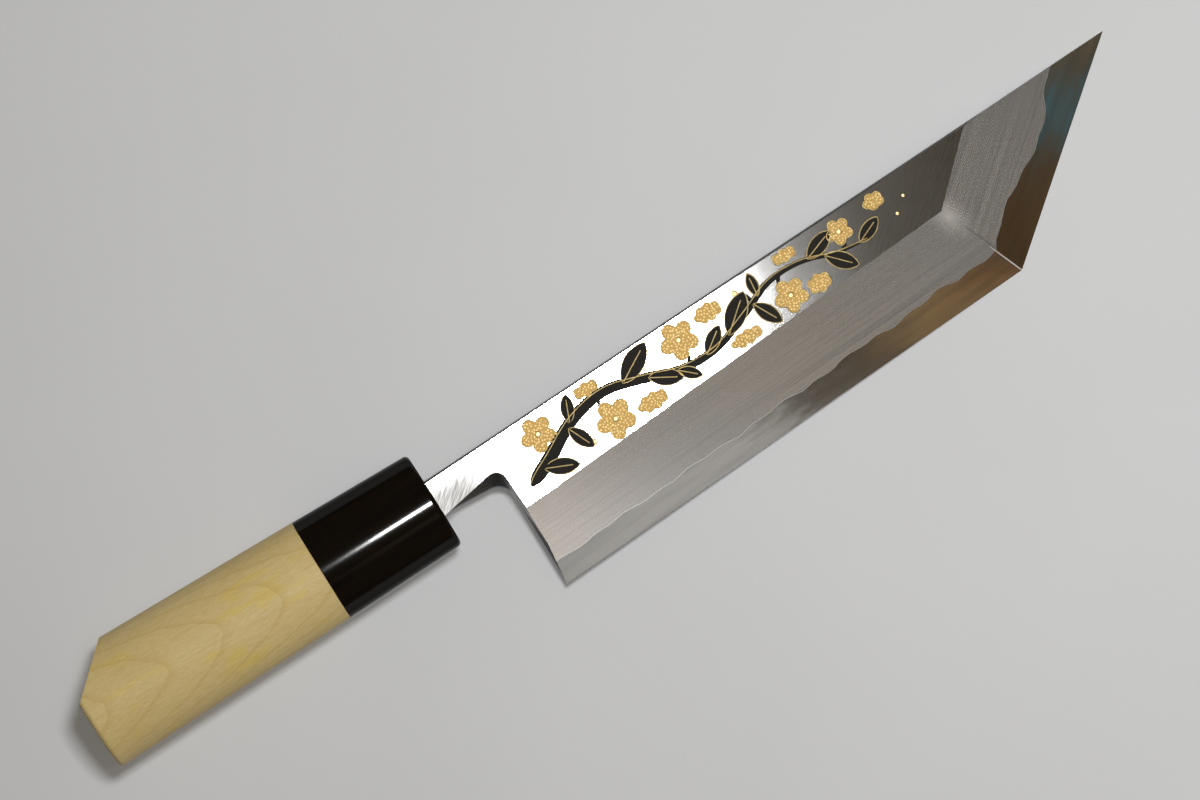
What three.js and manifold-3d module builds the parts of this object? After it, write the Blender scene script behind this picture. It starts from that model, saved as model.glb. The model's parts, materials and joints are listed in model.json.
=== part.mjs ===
// A single-bevel eel-opening knife: a soft-iron blade with a hard-steel plate forge-welded under it,
// a black horn ferrule and an oval magnolia grip that the tang is driven into.
// Millimetres. +X runs along the knife to the point, +Y towards the spine and +Z out of the front
// face. The origin lies on the flat back of the blade, on the tang's centre line, level with the heel.

import * as THREE from 'three';
import { mergeVertices } from 'three/addons/utils/BufferGeometryUtils.js';
import Module from 'manifold-3d';

const wasm = await Module();
wasm.setup();

// Blade outline, seen from the front
const BLADE_LENGTH = 182; // heel to point along X, a blade of six sun
const EDGE_LENGTH = 134.5; // straight cutting edge along X, from the heel to the corner of the tip
const HEEL_DEPTH = 34.5; // from the tang's centre line down to the heel
const CORNER_DEPTH = 28.4; // from the tang's centre line down to the corner of the tip
const POINT_HEIGHT = 10.7; // from the tang's centre line up to the point
const NECK_LENGTH = 16.5; // heel to the mouth of the ferrule
const NECK_TOP = 5.1; // from the tang's centre line up to the spine at the ferrule
const NECK_BOTTOM = 4.5; // from the tang's centre line down to the neck's underside at the ferrule

// Chin, the hollow between neck and heel, ground on a slant so that the back stands out
const CHIN_DEPTH_BACK = 5.6; // from the tang's centre line down to the chin on the back
const CHIN_DEPTH_FRONT = 1.5; // the same on the front face
const CHIN_RADIUS_BACK = 4.2;
const CHIN_RADIUS_FRONT = 2.6;
const CHIN_SETBACK_BACK = 0.35; // how far the heel's back outline leans forward at the chin
const CHIN_SETBACK_FRONT = 0.7; // the same on the front face
const HEEL_SETBACK_FRONT = 2; // how far the slanted heel leans forward at the heel corner
const CHIN_STEPS = 26;

// Thickness and bevels
const NECK_THICKNESS = 5.5; // at the ferrule
const POINT_THICKNESS = 3.6; // what the flat front face would leave at the point without its bevel
const SPINE_EASE = 0.5; // small flat that breaks the front corner of the spine
const EDGE_LAND = 0.1; // thickness left at the cutting edge
const HEEL_BEVEL = 20.9; // bevel width at the heel, square to the edge
const CORNER_BEVEL = 23.3; // bevel width at the corner of the tip, square to the long edge
const TIP_BEVEL_CORNER = 23.2; // width of the tip's bevel at the corner, square to the tip's edge
const TIP_BEVEL_POINT = 27.5; // the same at the point, where the spine cuts it off
const BEVEL_STEPS = 40;

// Hollow-ground back, with a flat rim left all round it
const HOLLOW_DEPTH = 0.45;
const RIM_HEEL = 7;
const RIM_EDGE = 2.4;
const RIM_TIP = 2.8;
const RIM_SPINE = 3;
const HOLLOW_FADE = 8; // even power that sets how quickly the hollow dies out at its two ends
const HOLLOW_STEPS_ALONG = 24;
const HOLLOW_STEPS_ACROSS = 8;
const HOLLOW_LEAD = 0.02; // how far below the back the hollow's edge starts, for a clean cut

// Forge weld between iron and steel
const STEEL_AT_HEEL = 1.79; // mean thickness of the steel plate at the heel
const STEEL_AT_POINT = 1.24; // the same at the point
const STEEL_START = -9.5; // X where the steel's thinned end dies out under the neck
const SCARF_SLOPE = 0.3; // rise of that thinned end
const WELD_SWELL = 0.2; // slow waviness of the weld across the blade
const WELD_SWELL_LENGTH = 25;
const WELD_SWELL_CREST = -15; // Y of a crest
const WELD_RIPPLE = 0.05; // quicker waviness along the blade, left by the hammer
const WELD_RIPPLE_LENGTH = 9.5;
const WELD_RIPPLE_SLOW = 23; // length of a second ripple that keeps the first from looking regular
const WELD_RIPPLE_LEAN = 0.35; // how far the ripples lean across the blade
const WELD_STEP_ALONG = 1.6;
const WELD_STEP_ACROSS = 3.5;
const WELD_GAP = 0.02;

// Tang, hidden in the handle
const TANG_LENGTH = 62; // mouth of the ferrule to the tang's end
const TANG_END_HEIGHT = 4.6;
const TANG_END_THICKNESS = 3;
const TANG_CLEARANCE = 0.3; // round the tang in its slot
const TANG_END_GAP = 2; // between the tang's end and the bottom of the slot

// Handle
const HANDLE_LENGTH = 98.5; // mouth of the ferrule to the butt
const FERRULE_LENGTH = 32.3;
const FRONT_WIDTH = 25.5; // oval's width at the mouth of the ferrule
const JOINT_WIDTH = 27; // oval's width where ferrule and grip meet
const BUTT_WIDTH = 29.6;
const JOINT_THICKNESS = 21.6; // oval's thickness where ferrule and grip meet
const FERRULE_ROUND = 1.2; // rounding of the ferrule's front edge
const BUTT_ROUND = 1.2; // rounding of the grip's end
const SLANT_ALONG = 12.3; // slanted cut on the spine side of the butt, measured along the handle
const SLANT_ACROSS = 11.1; // the same cut, measured across the handle
const TENON_DIAMETER = 15;
const TENON_RECESS = 0.6; // how far the tenon's end sits inside the mouth of the ferrule
const TENON_CLEARANCE = 0.15; // round the tenon in the ferrule's bore
const SEAT_GAP = 0.1; // glue line between ferrule and grip
const OVAL_SIDES = 80;
const ROUND_STEPS = 6;
const BORE_SIDES = 48;

// How far cutting tools reach past the work
const OVERCUT = 5;
const BEVEL_OVERRUN = 0.45; // share of a bevel by which its ground face runs on past the bevel's ends

// Finishes
const IRON_FINISH = { color: 0xb4b5b4, roughness: 0.42, metalness: 1 };
const STEEL_FINISH = { color: 0x9d9892, roughness: 0.14, metalness: 1 };
const HORN_FINISH = { color: 0x0b0a0a, roughness: 0.16, metalness: 0 };
const MAGNOLIA_FINISH = { color: 0xcbb27a, roughness: 0.62, metalness: 0 };

// Places worked out from the sizes
const MOUTH_X = -NECK_LENGTH;
const TANG_END_X = MOUTH_X - TANG_LENGTH;
const JOINT_X = MOUTH_X - FERRULE_LENGTH;
const BUTT_X = MOUTH_X - HANDLE_LENGTH;
const AXIS_Z = NECK_THICKNESS / 2; // height of the handle's axis above the blade's back
const TANG_Y = (NECK_TOP - NECK_BOTTOM) / 2;
const BORE_DIAMETER = TENON_DIAMETER + 2 * TENON_CLEARANCE;
const OVAL_RATIO = JOINT_THICKNESS / JOINT_WIDTH;

const point = (x, y) => new THREE.Vector2(x, y);
const HEEL = point(0, -HEEL_DEPTH);
const CORNER = point(EDGE_LENGTH, -CORNER_DEPTH);
const POINT = point(BLADE_LENGTH, POINT_HEIGHT);
const SPINE_START = point(MOUTH_X, NECK_TOP);

// Height of the flat front face: the blade thins evenly from the ferrule to the point
function faceHeight(x) {
  return THREE.MathUtils.mapLinear(x, MOUTH_X, BLADE_LENGTH, NECK_THICKNESS, POINT_THICKNESS);
}

// Top of the steel plate: a scarfed end under the neck, then a wavy weld that thins to the point
function weldHeight(x, y) {
  const mean = THREE.MathUtils.mapLinear(x, 0, BLADE_LENGTH, STEEL_AT_HEEL, STEEL_AT_POINT);
  const swell = WELD_SWELL * Math.cos((2 * Math.PI * (y - WELD_SWELL_CREST)) / WELD_SWELL_LENGTH);
  const lean = WELD_RIPPLE_LEAN * y;
  const quick = Math.sin((2 * Math.PI * (x + lean)) / WELD_RIPPLE_LENGTH);
  const slow = Math.sin((2 * Math.PI * (x - lean)) / WELD_RIPPLE_SLOW);
  const scarf = (x - STEEL_START) * SCARF_SLOPE;
  return Math.min(mean + swell + WELD_RIPPLE * (quick + slow), scarf);
}

// Where the line through a and b crosses the line through c and d
function crossing(a, b, c, d) {
  const along = b.clone().sub(a);
  const other = d.clone().sub(c);
  const share = c.clone().sub(a).cross(other) / along.cross(other);
  return a.clone().addScaledVector(along, share);
}

// Unit normal of the line from a to b, on its left
function leftOf(a, b) {
  const along = b.clone().sub(a).normalize();
  return point(-along.y, along.x);
}

// Corner b of the outline a, b, c, with both its sides moved to the left
function insetCorner(a, b, c, firstInset, secondInset) {
  const first = leftOf(a, b).multiplyScalar(firstInset);
  const second = leftOf(b, c).multiplyScalar(secondInset);
  return crossing(a.clone().add(first), b.clone().add(first), b.clone().add(second), c.clone().add(second));
}

// Points of a rounded corner between the lines from a to the corner and from the corner to b
function roundedCorner(a, corner, b, radius, steps) {
  const toA = a.clone().sub(corner).normalize();
  const toB = b.clone().sub(corner).normalize();
  const half = Math.acos(toA.dot(toB)) / 2;
  const centre = corner.clone().addScaledVector(toA.clone().add(toB).normalize(), radius / Math.sin(half));
  const start = corner.clone().addScaledVector(toA, radius / Math.tan(half)).sub(centre);
  const turn = Math.sign(start.cross(toA)) * (Math.PI - 2 * half);
  const points = [];
  for (let i = 0; i <= steps; i += 1) {
    points.push(start.clone().rotateAround(point(0, 0), (-turn * i) / steps).add(centre));
  }
  return points;
}

// A geometry from corner points and triangles, turned so that its faces point outwards
function closedGeometry(corners, triangles) {
  let volume = 0;
  for (const [a, b, c] of triangles) {
    volume += corners[a].dot(corners[b].clone().cross(corners[c]));
  }
  const facing = volume > 0 ? triangles : triangles.map(([a, b, c]) => [a, c, b]);
  const geometry = new THREE.BufferGeometry();
  geometry.setFromPoints(corners);
  geometry.setIndex(facing.flat());
  return geometry;
}

// A solid between two surfaces that share their sides, each given over u and v from 0 to 1
function gridSolid(stepsU, stepsV, lower, upper) {
  const corners = [];
  const triangles = [];
  const layerSize = (stepsU + 1) * (stepsV + 1);
  for (const surface of [lower, upper]) {
    for (let i = 0; i <= stepsU; i += 1) {
      for (let j = 0; j <= stepsV; j += 1) {
        corners.push(surface(i / stepsU, j / stepsV));
      }
    }
  }
  const at = (layer, i, j) => layer * layerSize + i * (stepsV + 1) + j;
  const quad = (a, b, c, d) => triangles.push([a, b, c], [a, c, d]);
  for (let i = 0; i < stepsU; i += 1) {
    for (let j = 0; j < stepsV; j += 1) {
      quad(at(0, i, j), at(0, i, j + 1), at(0, i + 1, j + 1), at(0, i + 1, j));
      quad(at(1, i, j), at(1, i + 1, j), at(1, i + 1, j + 1), at(1, i, j + 1));
    }
  }
  for (let i = 0; i < stepsU; i += 1) {
    quad(at(0, i, 0), at(0, i + 1, 0), at(1, i + 1, 0), at(1, i, 0));
    quad(at(0, i + 1, stepsV), at(0, i, stepsV), at(1, i, stepsV), at(1, i + 1, stepsV));
  }
  for (let j = 0; j < stepsV; j += 1) {
    quad(at(0, 0, j + 1), at(0, 0, j), at(1, 0, j), at(1, 0, j + 1));
    quad(at(0, stepsU, j), at(0, stepsU, j + 1), at(1, stepsU, j + 1), at(1, stepsU, j));
  }
  return closedGeometry(corners, triangles);
}

// A plate lofted through rings of matching points, capped by patches that list points of a ring
function loftedPlate(rings, patches) {
  const count = rings[0].length;
  const corners = rings.flat();
  const triangles = [];
  for (let layer = 0; layer + 1 < rings.length; layer += 1) {
    for (let i = 0; i < count; i += 1) {
      const a = layer * count + i;
      const b = layer * count + ((i + 1) % count);
      triangles.push([a, b, b + count], [a, b + count, a + count]);
    }
  }
  const top = (rings.length - 1) * count;
  for (const patch of patches) {
    const flatten = (ring) => patch.map((i) => point(ring[i].x, ring[i].y));
    for (const [a, b, c] of THREE.ShapeUtils.triangulateShape(flatten(rings[0]), [])) {
      triangles.push([patch[a], patch[c], patch[b]]);
    }
    for (const [a, b, c] of THREE.ShapeUtils.triangulateShape(flatten(rings.at(-1)), [])) {
      triangles.push([top + patch[a], top + patch[b], top + patch[c]]);
    }
  }
  return closedGeometry(corners, triangles);
}

// A closed geometry as a solid that can be cut and joined, without the triangles that shrink to
// nothing where a turned profile meets its axis
function solidOf(geometry) {
  const bare = geometry.clone();
  bare.deleteAttribute('normal');
  bare.deleteAttribute('uv');
  const merged = mergeVertices(bare);
  const index = merged.getIndex().array;
  const kept = [];
  for (let i = 0; i < index.length; i += 3) {
    const [a, b, c] = index.slice(i, i + 3);
    if (a !== b && b !== c && c !== a) {
      kept.push(a, b, c);
    }
  }
  const vertProperties = new Float32Array(merged.getAttribute('position').array);
  const triVerts = new Uint32Array(kept);
  return new wasm.Manifold(new wasm.Mesh({ numProp: 3, vertProperties, triVerts }));
}

// A finished solid as a named mesh with its finish
function namedMesh(name, solid, finish) {
  const { vertProperties, triVerts } = solid.getMesh();
  const geometry = new THREE.BufferGeometry();
  geometry.setAttribute('position', new THREE.BufferAttribute(vertProperties, 3));
  geometry.setIndex(new THREE.BufferAttribute(triVerts, 1));
  geometry.computeVertexNormals();
  const mesh = new THREE.Mesh(geometry, new THREE.MeshStandardMaterial(finish));
  mesh.name = name;
  return mesh;
}

// The forged blank: tang, neck and blade as one plate, with the slanted chin and the eased spine
function forgedBlank() {
  const tangBottom = point(TANG_END_X, TANG_Y - TANG_END_HEIGHT / 2);
  const tangTop = point(TANG_END_X, TANG_Y + TANG_END_HEIGHT / 2);
  const neckBottom = point(MOUTH_X, -NECK_BOTTOM);
  const heelFront = point(HEEL_SETBACK_FRONT, -HEEL_DEPTH);
  const chinBack = point(CHIN_SETBACK_BACK, -CHIN_DEPTH_BACK);
  const chinFront = point(CHIN_SETBACK_FRONT, -CHIN_DEPTH_FRONT);
  const ease = leftOf(POINT, SPINE_START).multiplyScalar(SPINE_EASE);

  const backChin = roundedCorner(neckBottom, chinBack, HEEL, CHIN_RADIUS_BACK, CHIN_STEPS);
  const frontChin = roundedCorner(neckBottom, chinFront, heelFront, CHIN_RADIUS_FRONT, CHIN_STEPS);
  const back = [tangBottom, neckBottom, ...backChin, HEEL, CORNER, POINT, SPINE_START, tangTop];
  const front = [tangBottom, neckBottom, ...frontChin, heelFront, CORNER, POINT, SPINE_START, tangTop];

  const last = back.length - 1;
  const spine = [last - 2, last - 1];
  const tangPatch = [0, 1, last - 1, last];
  const bladePatch = [];
  for (let i = 1; i < last; i += 1) {
    bladePatch.push(i);
  }

  const tangRise = (NECK_THICKNESS - TANG_END_THICKNESS) / 2;
  const isTangEnd = (i) => i === 0 || i === last;
  const backZ = (i) => (isTangEnd(i) ? tangRise : 0);
  const frontZ = (i) => (isTangEnd(i) ? NECK_THICKNESS - tangRise : faceHeight(front[i].x));
  const easedShare = (i) => (frontZ(i) - SPINE_EASE) / frontZ(i);

  const backRing = back.map((p, i) => new THREE.Vector3(p.x, p.y, backZ(i)));
  const frontRing = front.map((p, i) => {
    const place = spine.includes(i) ? p.clone().add(ease) : p;
    return new THREE.Vector3(place.x, place.y, frontZ(i));
  });
  const easedRing = backRing.map((p, i) => {
    const upright = new THREE.Vector3(front[i].x, front[i].y, frontZ(i));
    return p.clone().lerp(upright, easedShare(i));
  });
  return solidOf(loftedPlate([backRing, easedRing, frontRing], [tangPatch, bladePatch]));
}

// What is ground away above a bevel that runs from the edge line a, b up to the flat front face
function bevelCut(a, b, widthA, widthB) {
  const side = leftOf(a, b);
  const farA = a.clone().addScaledVector(side, widthA);
  const farB = b.clone().addScaledVector(side, widthB);
  const overrun = (share) => THREE.MathUtils.lerp(-BEVEL_OVERRUN, 1 + BEVEL_OVERRUN, share);
  const bevel = (u, v) => {
    const edge = a.clone().lerp(b, overrun(u));
    const ridge = farA.clone().lerp(farB, overrun(u));
    const edgePoint = new THREE.Vector3(edge.x, edge.y, EDGE_LAND);
    const ridgePoint = new THREE.Vector3(ridge.x, ridge.y, faceHeight(ridge.x));
    return edgePoint.lerp(ridgePoint, overrun(v));
  };
  const above = (u, v) => bevel(u, v).setZ(2 * NECK_THICKNESS + OVERCUT);
  return solidOf(gridSolid(BEVEL_STEPS, 2, bevel, above));
}

// What the wheel takes out of the back: a shallow trough across the blade that dies out at its ends
function hollowCut() {
  const spineOverHeel = crossing(POINT, SPINE_START, HEEL, point(HEEL.x, 0));
  const heelEdge = insetCorner(spineOverHeel, HEEL, CORNER, RIM_HEEL, RIM_EDGE);
  const tipEdge = insetCorner(HEEL, CORNER, POINT, RIM_EDGE, RIM_TIP);
  const tipSpine = insetCorner(CORNER, POINT, spineOverHeel, RIM_TIP, RIM_SPINE);
  const heelSpine = insetCorner(POINT, spineOverHeel, HEEL, RIM_SPINE, RIM_HEEL);
  const place = (u, v) => {
    const along = (1 - Math.cos(Math.PI * u)) / 2;
    const edgeSide = heelEdge.clone().lerp(tipEdge, along);
    const spineSide = heelSpine.clone().lerp(tipSpine, along);
    const ends = 1 - (2 * along - 1) ** HOLLOW_FADE;
    const flat = edgeSide.lerp(spineSide, v);
    return new THREE.Vector3(flat.x, flat.y, HOLLOW_DEPTH * 4 * v * (1 - v) * ends - HOLLOW_LEAD);
  };
  const below = (u, v) => place(u, v).setZ(-OVERCUT);
  return solidOf(gridSolid(HOLLOW_STEPS_ALONG, HOLLOW_STEPS_ACROSS, below, place));
}

// Everything under the weld, with the weld raised or lowered by a small offset
function belowWeld(offset) {
  const startX = STEEL_START - OVERCUT;
  const endX = BLADE_LENGTH + OVERCUT;
  const lowY = -Math.max(HEEL_DEPTH, CORNER_DEPTH) - OVERCUT;
  const highY = Math.max(NECK_TOP, POINT_HEIGHT) + OVERCUT;
  const place = (u, v, height) => {
    const x = THREE.MathUtils.lerp(startX, endX, u);
    const y = THREE.MathUtils.lerp(lowY, highY, v);
    return new THREE.Vector3(x, y, height(x, y));
  };
  const floor = (u, v) => place(u, v, () => -2 * OVERCUT);
  const weld = (u, v) => place(u, v, (x, y) => weldHeight(x, y) + offset);
  const stepsAlong = Math.ceil((endX - startX) / WELD_STEP_ALONG);
  const stepsAcross = Math.ceil((highY - lowY) / WELD_STEP_ACROSS);
  return solidOf(gridSolid(stepsAlong, stepsAcross, floor, weld));
}

// The ground blade, still in one piece: two bevels that meet in a mitre, and the hollow back
function groundBlade() {
  const longBevel = bevelCut(HEEL, CORNER, HEEL_BEVEL, CORNER_BEVEL);
  const tipBevel = bevelCut(CORNER, POINT, TIP_BEVEL_CORNER, TIP_BEVEL_POINT);
  return forgedBlank().subtract(longBevel).subtract(tipBevel).subtract(hollowCut());
}

// A solid turned round the handle's axis from a profile of radius and distance behind the ferrule's
// mouth, then flattened to the handle's oval
function turnedOval(profile) {
  const geometry = new THREE.LatheGeometry(profile, OVAL_SIDES);
  geometry.rotateZ(Math.PI / 2);
  geometry.scale(1, 1, OVAL_RATIO);
  geometry.translate(MOUTH_X, 0, AXIS_Z);
  return solidOf(geometry);
}

// A round bar on the handle's axis between two X places
function axisBar(diameter, startX, endX) {
  const geometry = new THREE.CylinderGeometry(diameter / 2, diameter / 2, endX - startX, BORE_SIDES);
  geometry.rotateZ(Math.PI / 2);
  geometry.translate((startX + endX) / 2, 0, AXIS_Z);
  return solidOf(geometry);
}

// The slot that the tang is driven into: the tang's own taper with room all round it
function tangSlot() {
  const mouthX = MOUTH_X + OVERCUT;
  const bottomX = TANG_END_X - TANG_END_GAP;
  const share = (x) => (MOUTH_X - x) / TANG_LENGTH;
  const taper = (x, atMouth, atEnd) => THREE.MathUtils.lerp(atMouth, atEnd, share(x));
  const wall = (side) => (u, v) => {
    const x = THREE.MathUtils.lerp(bottomX, mouthX, u);
    const top = taper(x, NECK_TOP, TANG_Y + TANG_END_HEIGHT / 2) + TANG_CLEARANCE;
    const bottom = taper(x, -NECK_BOTTOM, TANG_Y - TANG_END_HEIGHT / 2) - TANG_CLEARANCE;
    const half = taper(x, NECK_THICKNESS, TANG_END_THICKNESS) / 2 + TANG_CLEARANCE;
    return new THREE.Vector3(x, THREE.MathUtils.lerp(bottom, top, v), AXIS_Z + side * half);
  };
  return solidOf(gridSolid(1, 1, wall(-1), wall(1)));
}

// The horn ring, with a rounded front edge and a bore for the tenon
function hornFerrule() {
  const frontRadius = FRONT_WIDTH / 2;
  const profile = new THREE.Path();
  profile.moveTo(0, 0);
  profile.lineTo(frontRadius - FERRULE_ROUND, 0);
  profile.absarc(frontRadius - FERRULE_ROUND, FERRULE_ROUND, FERRULE_ROUND, -Math.PI / 2, 0);
  profile.lineTo(JOINT_WIDTH / 2, FERRULE_LENGTH);
  profile.lineTo(0, FERRULE_LENGTH);
  const bore = axisBar(BORE_DIAMETER, JOINT_X - OVERCUT, MOUTH_X + OVERCUT);
  return turnedOval(profile.getPoints(ROUND_STEPS)).subtract(bore);
}

// What the slanted cut takes off the spine side of the butt
function buttSlant() {
  const low = point(BUTT_X, BUTT_WIDTH / 2 - SLANT_ACROSS);
  const high = point(BUTT_X + SLANT_ALONG, BUTT_WIDTH / 2);
  const run = high.clone().sub(low);
  const start = low.clone().sub(run);
  const end = high.clone().add(run);
  const outline = new THREE.Shape([start, end, point(start.x, end.y)]);
  const depth = JOINT_THICKNESS * 2;
  const geometry = new THREE.ExtrudeGeometry(outline, { depth, bevelEnabled: false });
  geometry.translate(0, 0, AXIS_Z - depth / 2);
  return solidOf(geometry);
}

// The grip in one piece with its tenon, slotted for the tang
function handleGrip() {
  const buttRadius = BUTT_WIDTH / 2;
  const seat = FERRULE_LENGTH + SEAT_GAP;
  const profile = new THREE.Path();
  profile.moveTo(0, seat);
  profile.lineTo(JOINT_WIDTH / 2, seat);
  profile.absarc(buttRadius - BUTT_ROUND, HANDLE_LENGTH - BUTT_ROUND, BUTT_ROUND, 0, Math.PI / 2);
  profile.lineTo(0, HANDLE_LENGTH);
  const tenon = axisBar(TENON_DIAMETER, JOINT_X - OVERCUT, MOUTH_X - TENON_RECESS);
  const body = turnedOval(profile.getPoints(ROUND_STEPS)).subtract(buttSlant());
  return body.add(tenon).subtract(tangSlot());
}

const blade = groundBlade();
const bladeIron = blade.subtract(belowWeld(WELD_GAP / 2));
const bladeSteel = blade.intersect(belowWeld(-WELD_GAP / 2));

const knife = new THREE.Group();
knife.add(namedMesh('blade_iron', bladeIron, IRON_FINISH));
knife.add(namedMesh('blade_steel', bladeSteel, STEEL_FINISH));
knife.add(namedMesh('horn_ferrule', hornFerrule(), HORN_FINISH));
knife.add(namedMesh('handle_grip', handleGrip(), MAGNOLIA_FINISH));

export default knife;
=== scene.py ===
import json
import math

import bmesh
import bpy
from bpy.props import FloatProperty, FloatVectorProperty, IntProperty, PointerProperty
from mathutils import Matrix, Vector
from mathutils.geometry import interpolate_bezier


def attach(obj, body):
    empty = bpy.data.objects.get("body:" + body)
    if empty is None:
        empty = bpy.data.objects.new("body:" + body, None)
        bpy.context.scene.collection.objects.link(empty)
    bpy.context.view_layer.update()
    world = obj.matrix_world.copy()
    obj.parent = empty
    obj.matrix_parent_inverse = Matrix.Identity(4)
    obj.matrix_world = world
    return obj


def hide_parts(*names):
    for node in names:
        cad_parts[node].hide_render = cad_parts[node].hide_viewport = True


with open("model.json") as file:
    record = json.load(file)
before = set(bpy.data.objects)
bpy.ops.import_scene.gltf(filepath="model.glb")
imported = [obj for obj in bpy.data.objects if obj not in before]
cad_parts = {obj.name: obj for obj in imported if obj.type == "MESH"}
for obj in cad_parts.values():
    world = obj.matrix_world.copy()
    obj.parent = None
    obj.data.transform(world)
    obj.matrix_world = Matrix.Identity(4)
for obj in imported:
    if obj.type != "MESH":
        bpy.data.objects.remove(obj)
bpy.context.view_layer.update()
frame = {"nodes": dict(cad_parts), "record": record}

bl_info = {
    "name": "Eel Knife Finish",
    "version": (1, 0, 0),
    "blender": (4, 5, 0),
    "location": "3D View > Sidebar > Knife",
    "description": "Dresses an eel knife: ground blade, horn ferrule, magnolia grip and ornament",
    "category": "Object",
}

MM = 0.001
BODY = "root"
MERGE_DISTANCE = 0.002 * MM
COPLANAR = math.radians(0.04)

MOUNTS = {mount["name"]: mount for mount in frame["record"]["mounts"]}
FACE_POINT = Vector(MOUNTS["blade_front"]["pos_m"])
FACE_NORMAL = Vector(MOUNTS["blade_front"]["axis"]).normalized()

# How the faces of the blade are told apart
FLAT_LIMIT = math.cos(math.radians(1.5))
WELD_LIMIT = math.cos(math.radians(7))
BEVEL_LIMIT = 0.92
TIP_LEAN = 0.06
CHIN_LEAN = 0.1
CHIN_REACH = 4 * MM
RIM_HEIGHT = 0.01 * MM
FLAT_TOLERANCE = 0.005 * MM

# How edges are rounded, how far the polish tilts, and up to what angle in degrees pieces look smooth
ROUNDED = "rounded"
MITRE_MARK = 1
CHIN_MARK = 2
ROUND_STEPS = 6
MITRE_ROUND = 3.2 * MM
EDGE_MITRE_ROUND = 0.35 * MM
CHIN_ROUND = 0.5 * MM
EDGE_TILT = 0.028
BLADE_SMOOTH = 5
HANDLE_SMOOTH = 32
BRANCH_SMOOTH = 8
LINE_SMOOTH = 80
DOT_SMOOTH = 60

# Lines on the weld and on the mitre
WELD_WIDTH = 1.1 * MM
WELD_THINNING = 0.8
WELD_END = 112 * MM
LINE_RISE = 0.05 * MM
LINE_SIDES = 10
MITRE_WIDTHS = ((0, 0.5), (0.1, 0.48), (0.22, 0.4), (0.31, 0.26), (0.4, 0.12))

# Painted highlight at the upper end of the mitre: a lighter, less metallic spot that stands in for the glint
# where the rounded ridges meet
BEVEL_METALLIC = 0.88
GLINT_METALLIC = 0.6
GLINT_COLOUR = (0.72, 0.7, 0.67, 1)
GLINT_SETBACK = 2.2 * MM
GLINT_SIZE = (11 * MM, 6 * MM, 6 * MM)
GLINT_FADE = 2.0


def farthest(points, *direction):
    """The point that lies farthest in a direction"""
    return max(points, key=Vector(direction).dot).copy()


def blade_corners():
    """Heel, corner of the tip and point, on the upper side of the cutting edge"""
    edge = [vertex.co for vertex in frame["nodes"]["blade_steel"].data.vertices]
    return [farthest(edge, *way, 0.01) for way in ((-0.2, -1), (0.2, -1), (1, 0))]


def flat_lines():
    """The lines of the spine and of the bevel's ridge, by their two ends on the flat"""
    flat = [v.co for v in frame["nodes"]["blade_iron"].data.vertices
            if abs((v.co - FACE_POINT).dot(FACE_NORMAL)) < FLAT_TOLERANCE]
    spine = (farthest(flat, -0.5, 1, 0), farthest(flat, 1, 0, 0))
    ridge = (farthest(flat, 0, -1, 0), farthest(flat, 0.5, -1, 0))
    return spine, ridge


HEEL, CORNER, POINT = blade_corners()
SPINE_LINE, RIDGE_LINE = flat_lines()
EDGE_ANGLE = math.degrees(math.atan2(CORNER.y - HEEL.y, CORNER.x - HEEL.x))
TIP_ANGLE = math.degrees(math.atan2(POINT.y - CORNER.y, POINT.x - CORNER.x))
MAIN_BEVEL = ((HEEL, CORNER), RIDGE_LINE)
TIP_BEVEL = ((CORNER, POINT), (RIDGE_LINE[1], SPINE_LINE[1]))


# Settings

COLOUR = {"subtype": "COLOR", "size": 4, "min": 0, "max": 1}
SHARE = {"subtype": "FACTOR", "min": 0, "max": 1}
WATTS = {"unit": "POWER", "min": 0, "max": 100}


class KnifeFinishSettings(bpy.types.PropertyGroup):
    """Colours and polish of the knife's own pieces"""

    flat_colour: FloatVectorProperty(
        name="Flat", description="Soft iron between the spine and the bevel",
        default=(0.66, 0.66, 0.655, 1), **COLOUR)
    flat_roughness: FloatProperty(
        name="Flat Roughness", description="Satin of the flat", default=0.061, **SHARE)
    bevel_colour: FloatVectorProperty(
        name="Bevel", description="Soft iron on the two bevels", default=(0.585, 0.615, 0.66, 1), **COLOUR)
    heel_colour: FloatVectorProperty(
        name="Bevel At Heel", description="Warmer soft iron of the bevel beside the heel",
        default=(0.64, 0.595, 0.55, 1), **COLOUR)
    bevel_roughness: FloatProperty(
        name="Bevel Roughness", description="Haze that the stones leave on the soft iron",
        default=0.15, **SHARE)
    edge_colour: FloatVectorProperty(
        name="Edge Steel", description="Hard steel along the cutting edges",
        default=(0.25, 0.243, 0.232, 1), **COLOUR)
    edge_roughness: FloatProperty(
        name="Edge Roughness", description="Polish of the hard steel", default=0.075, **SHARE)
    horn_colour: FloatVectorProperty(
        name="Horn", description="Black horn of the ferrule", default=(0.0014, 0.0013, 0.0012, 1), **COLOUR)
    wood_colour: FloatVectorProperty(
        name="Magnolia", description="Pale wood between the growth rings",
        default=(0.575, 0.435, 0.18, 1), **COLOUR)
    ring_colour: FloatVectorProperty(
        name="Growth Rings", description="Darker wood in the growth rings",
        default=(0.46, 0.31, 0.08, 1), **COLOUR)
    ring_spacing: FloatProperty(
        name="Ring Spacing", description="Width of one growth ring",
        unit="LENGTH", min=0.0005, max=0.02, default=0.002)


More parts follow.
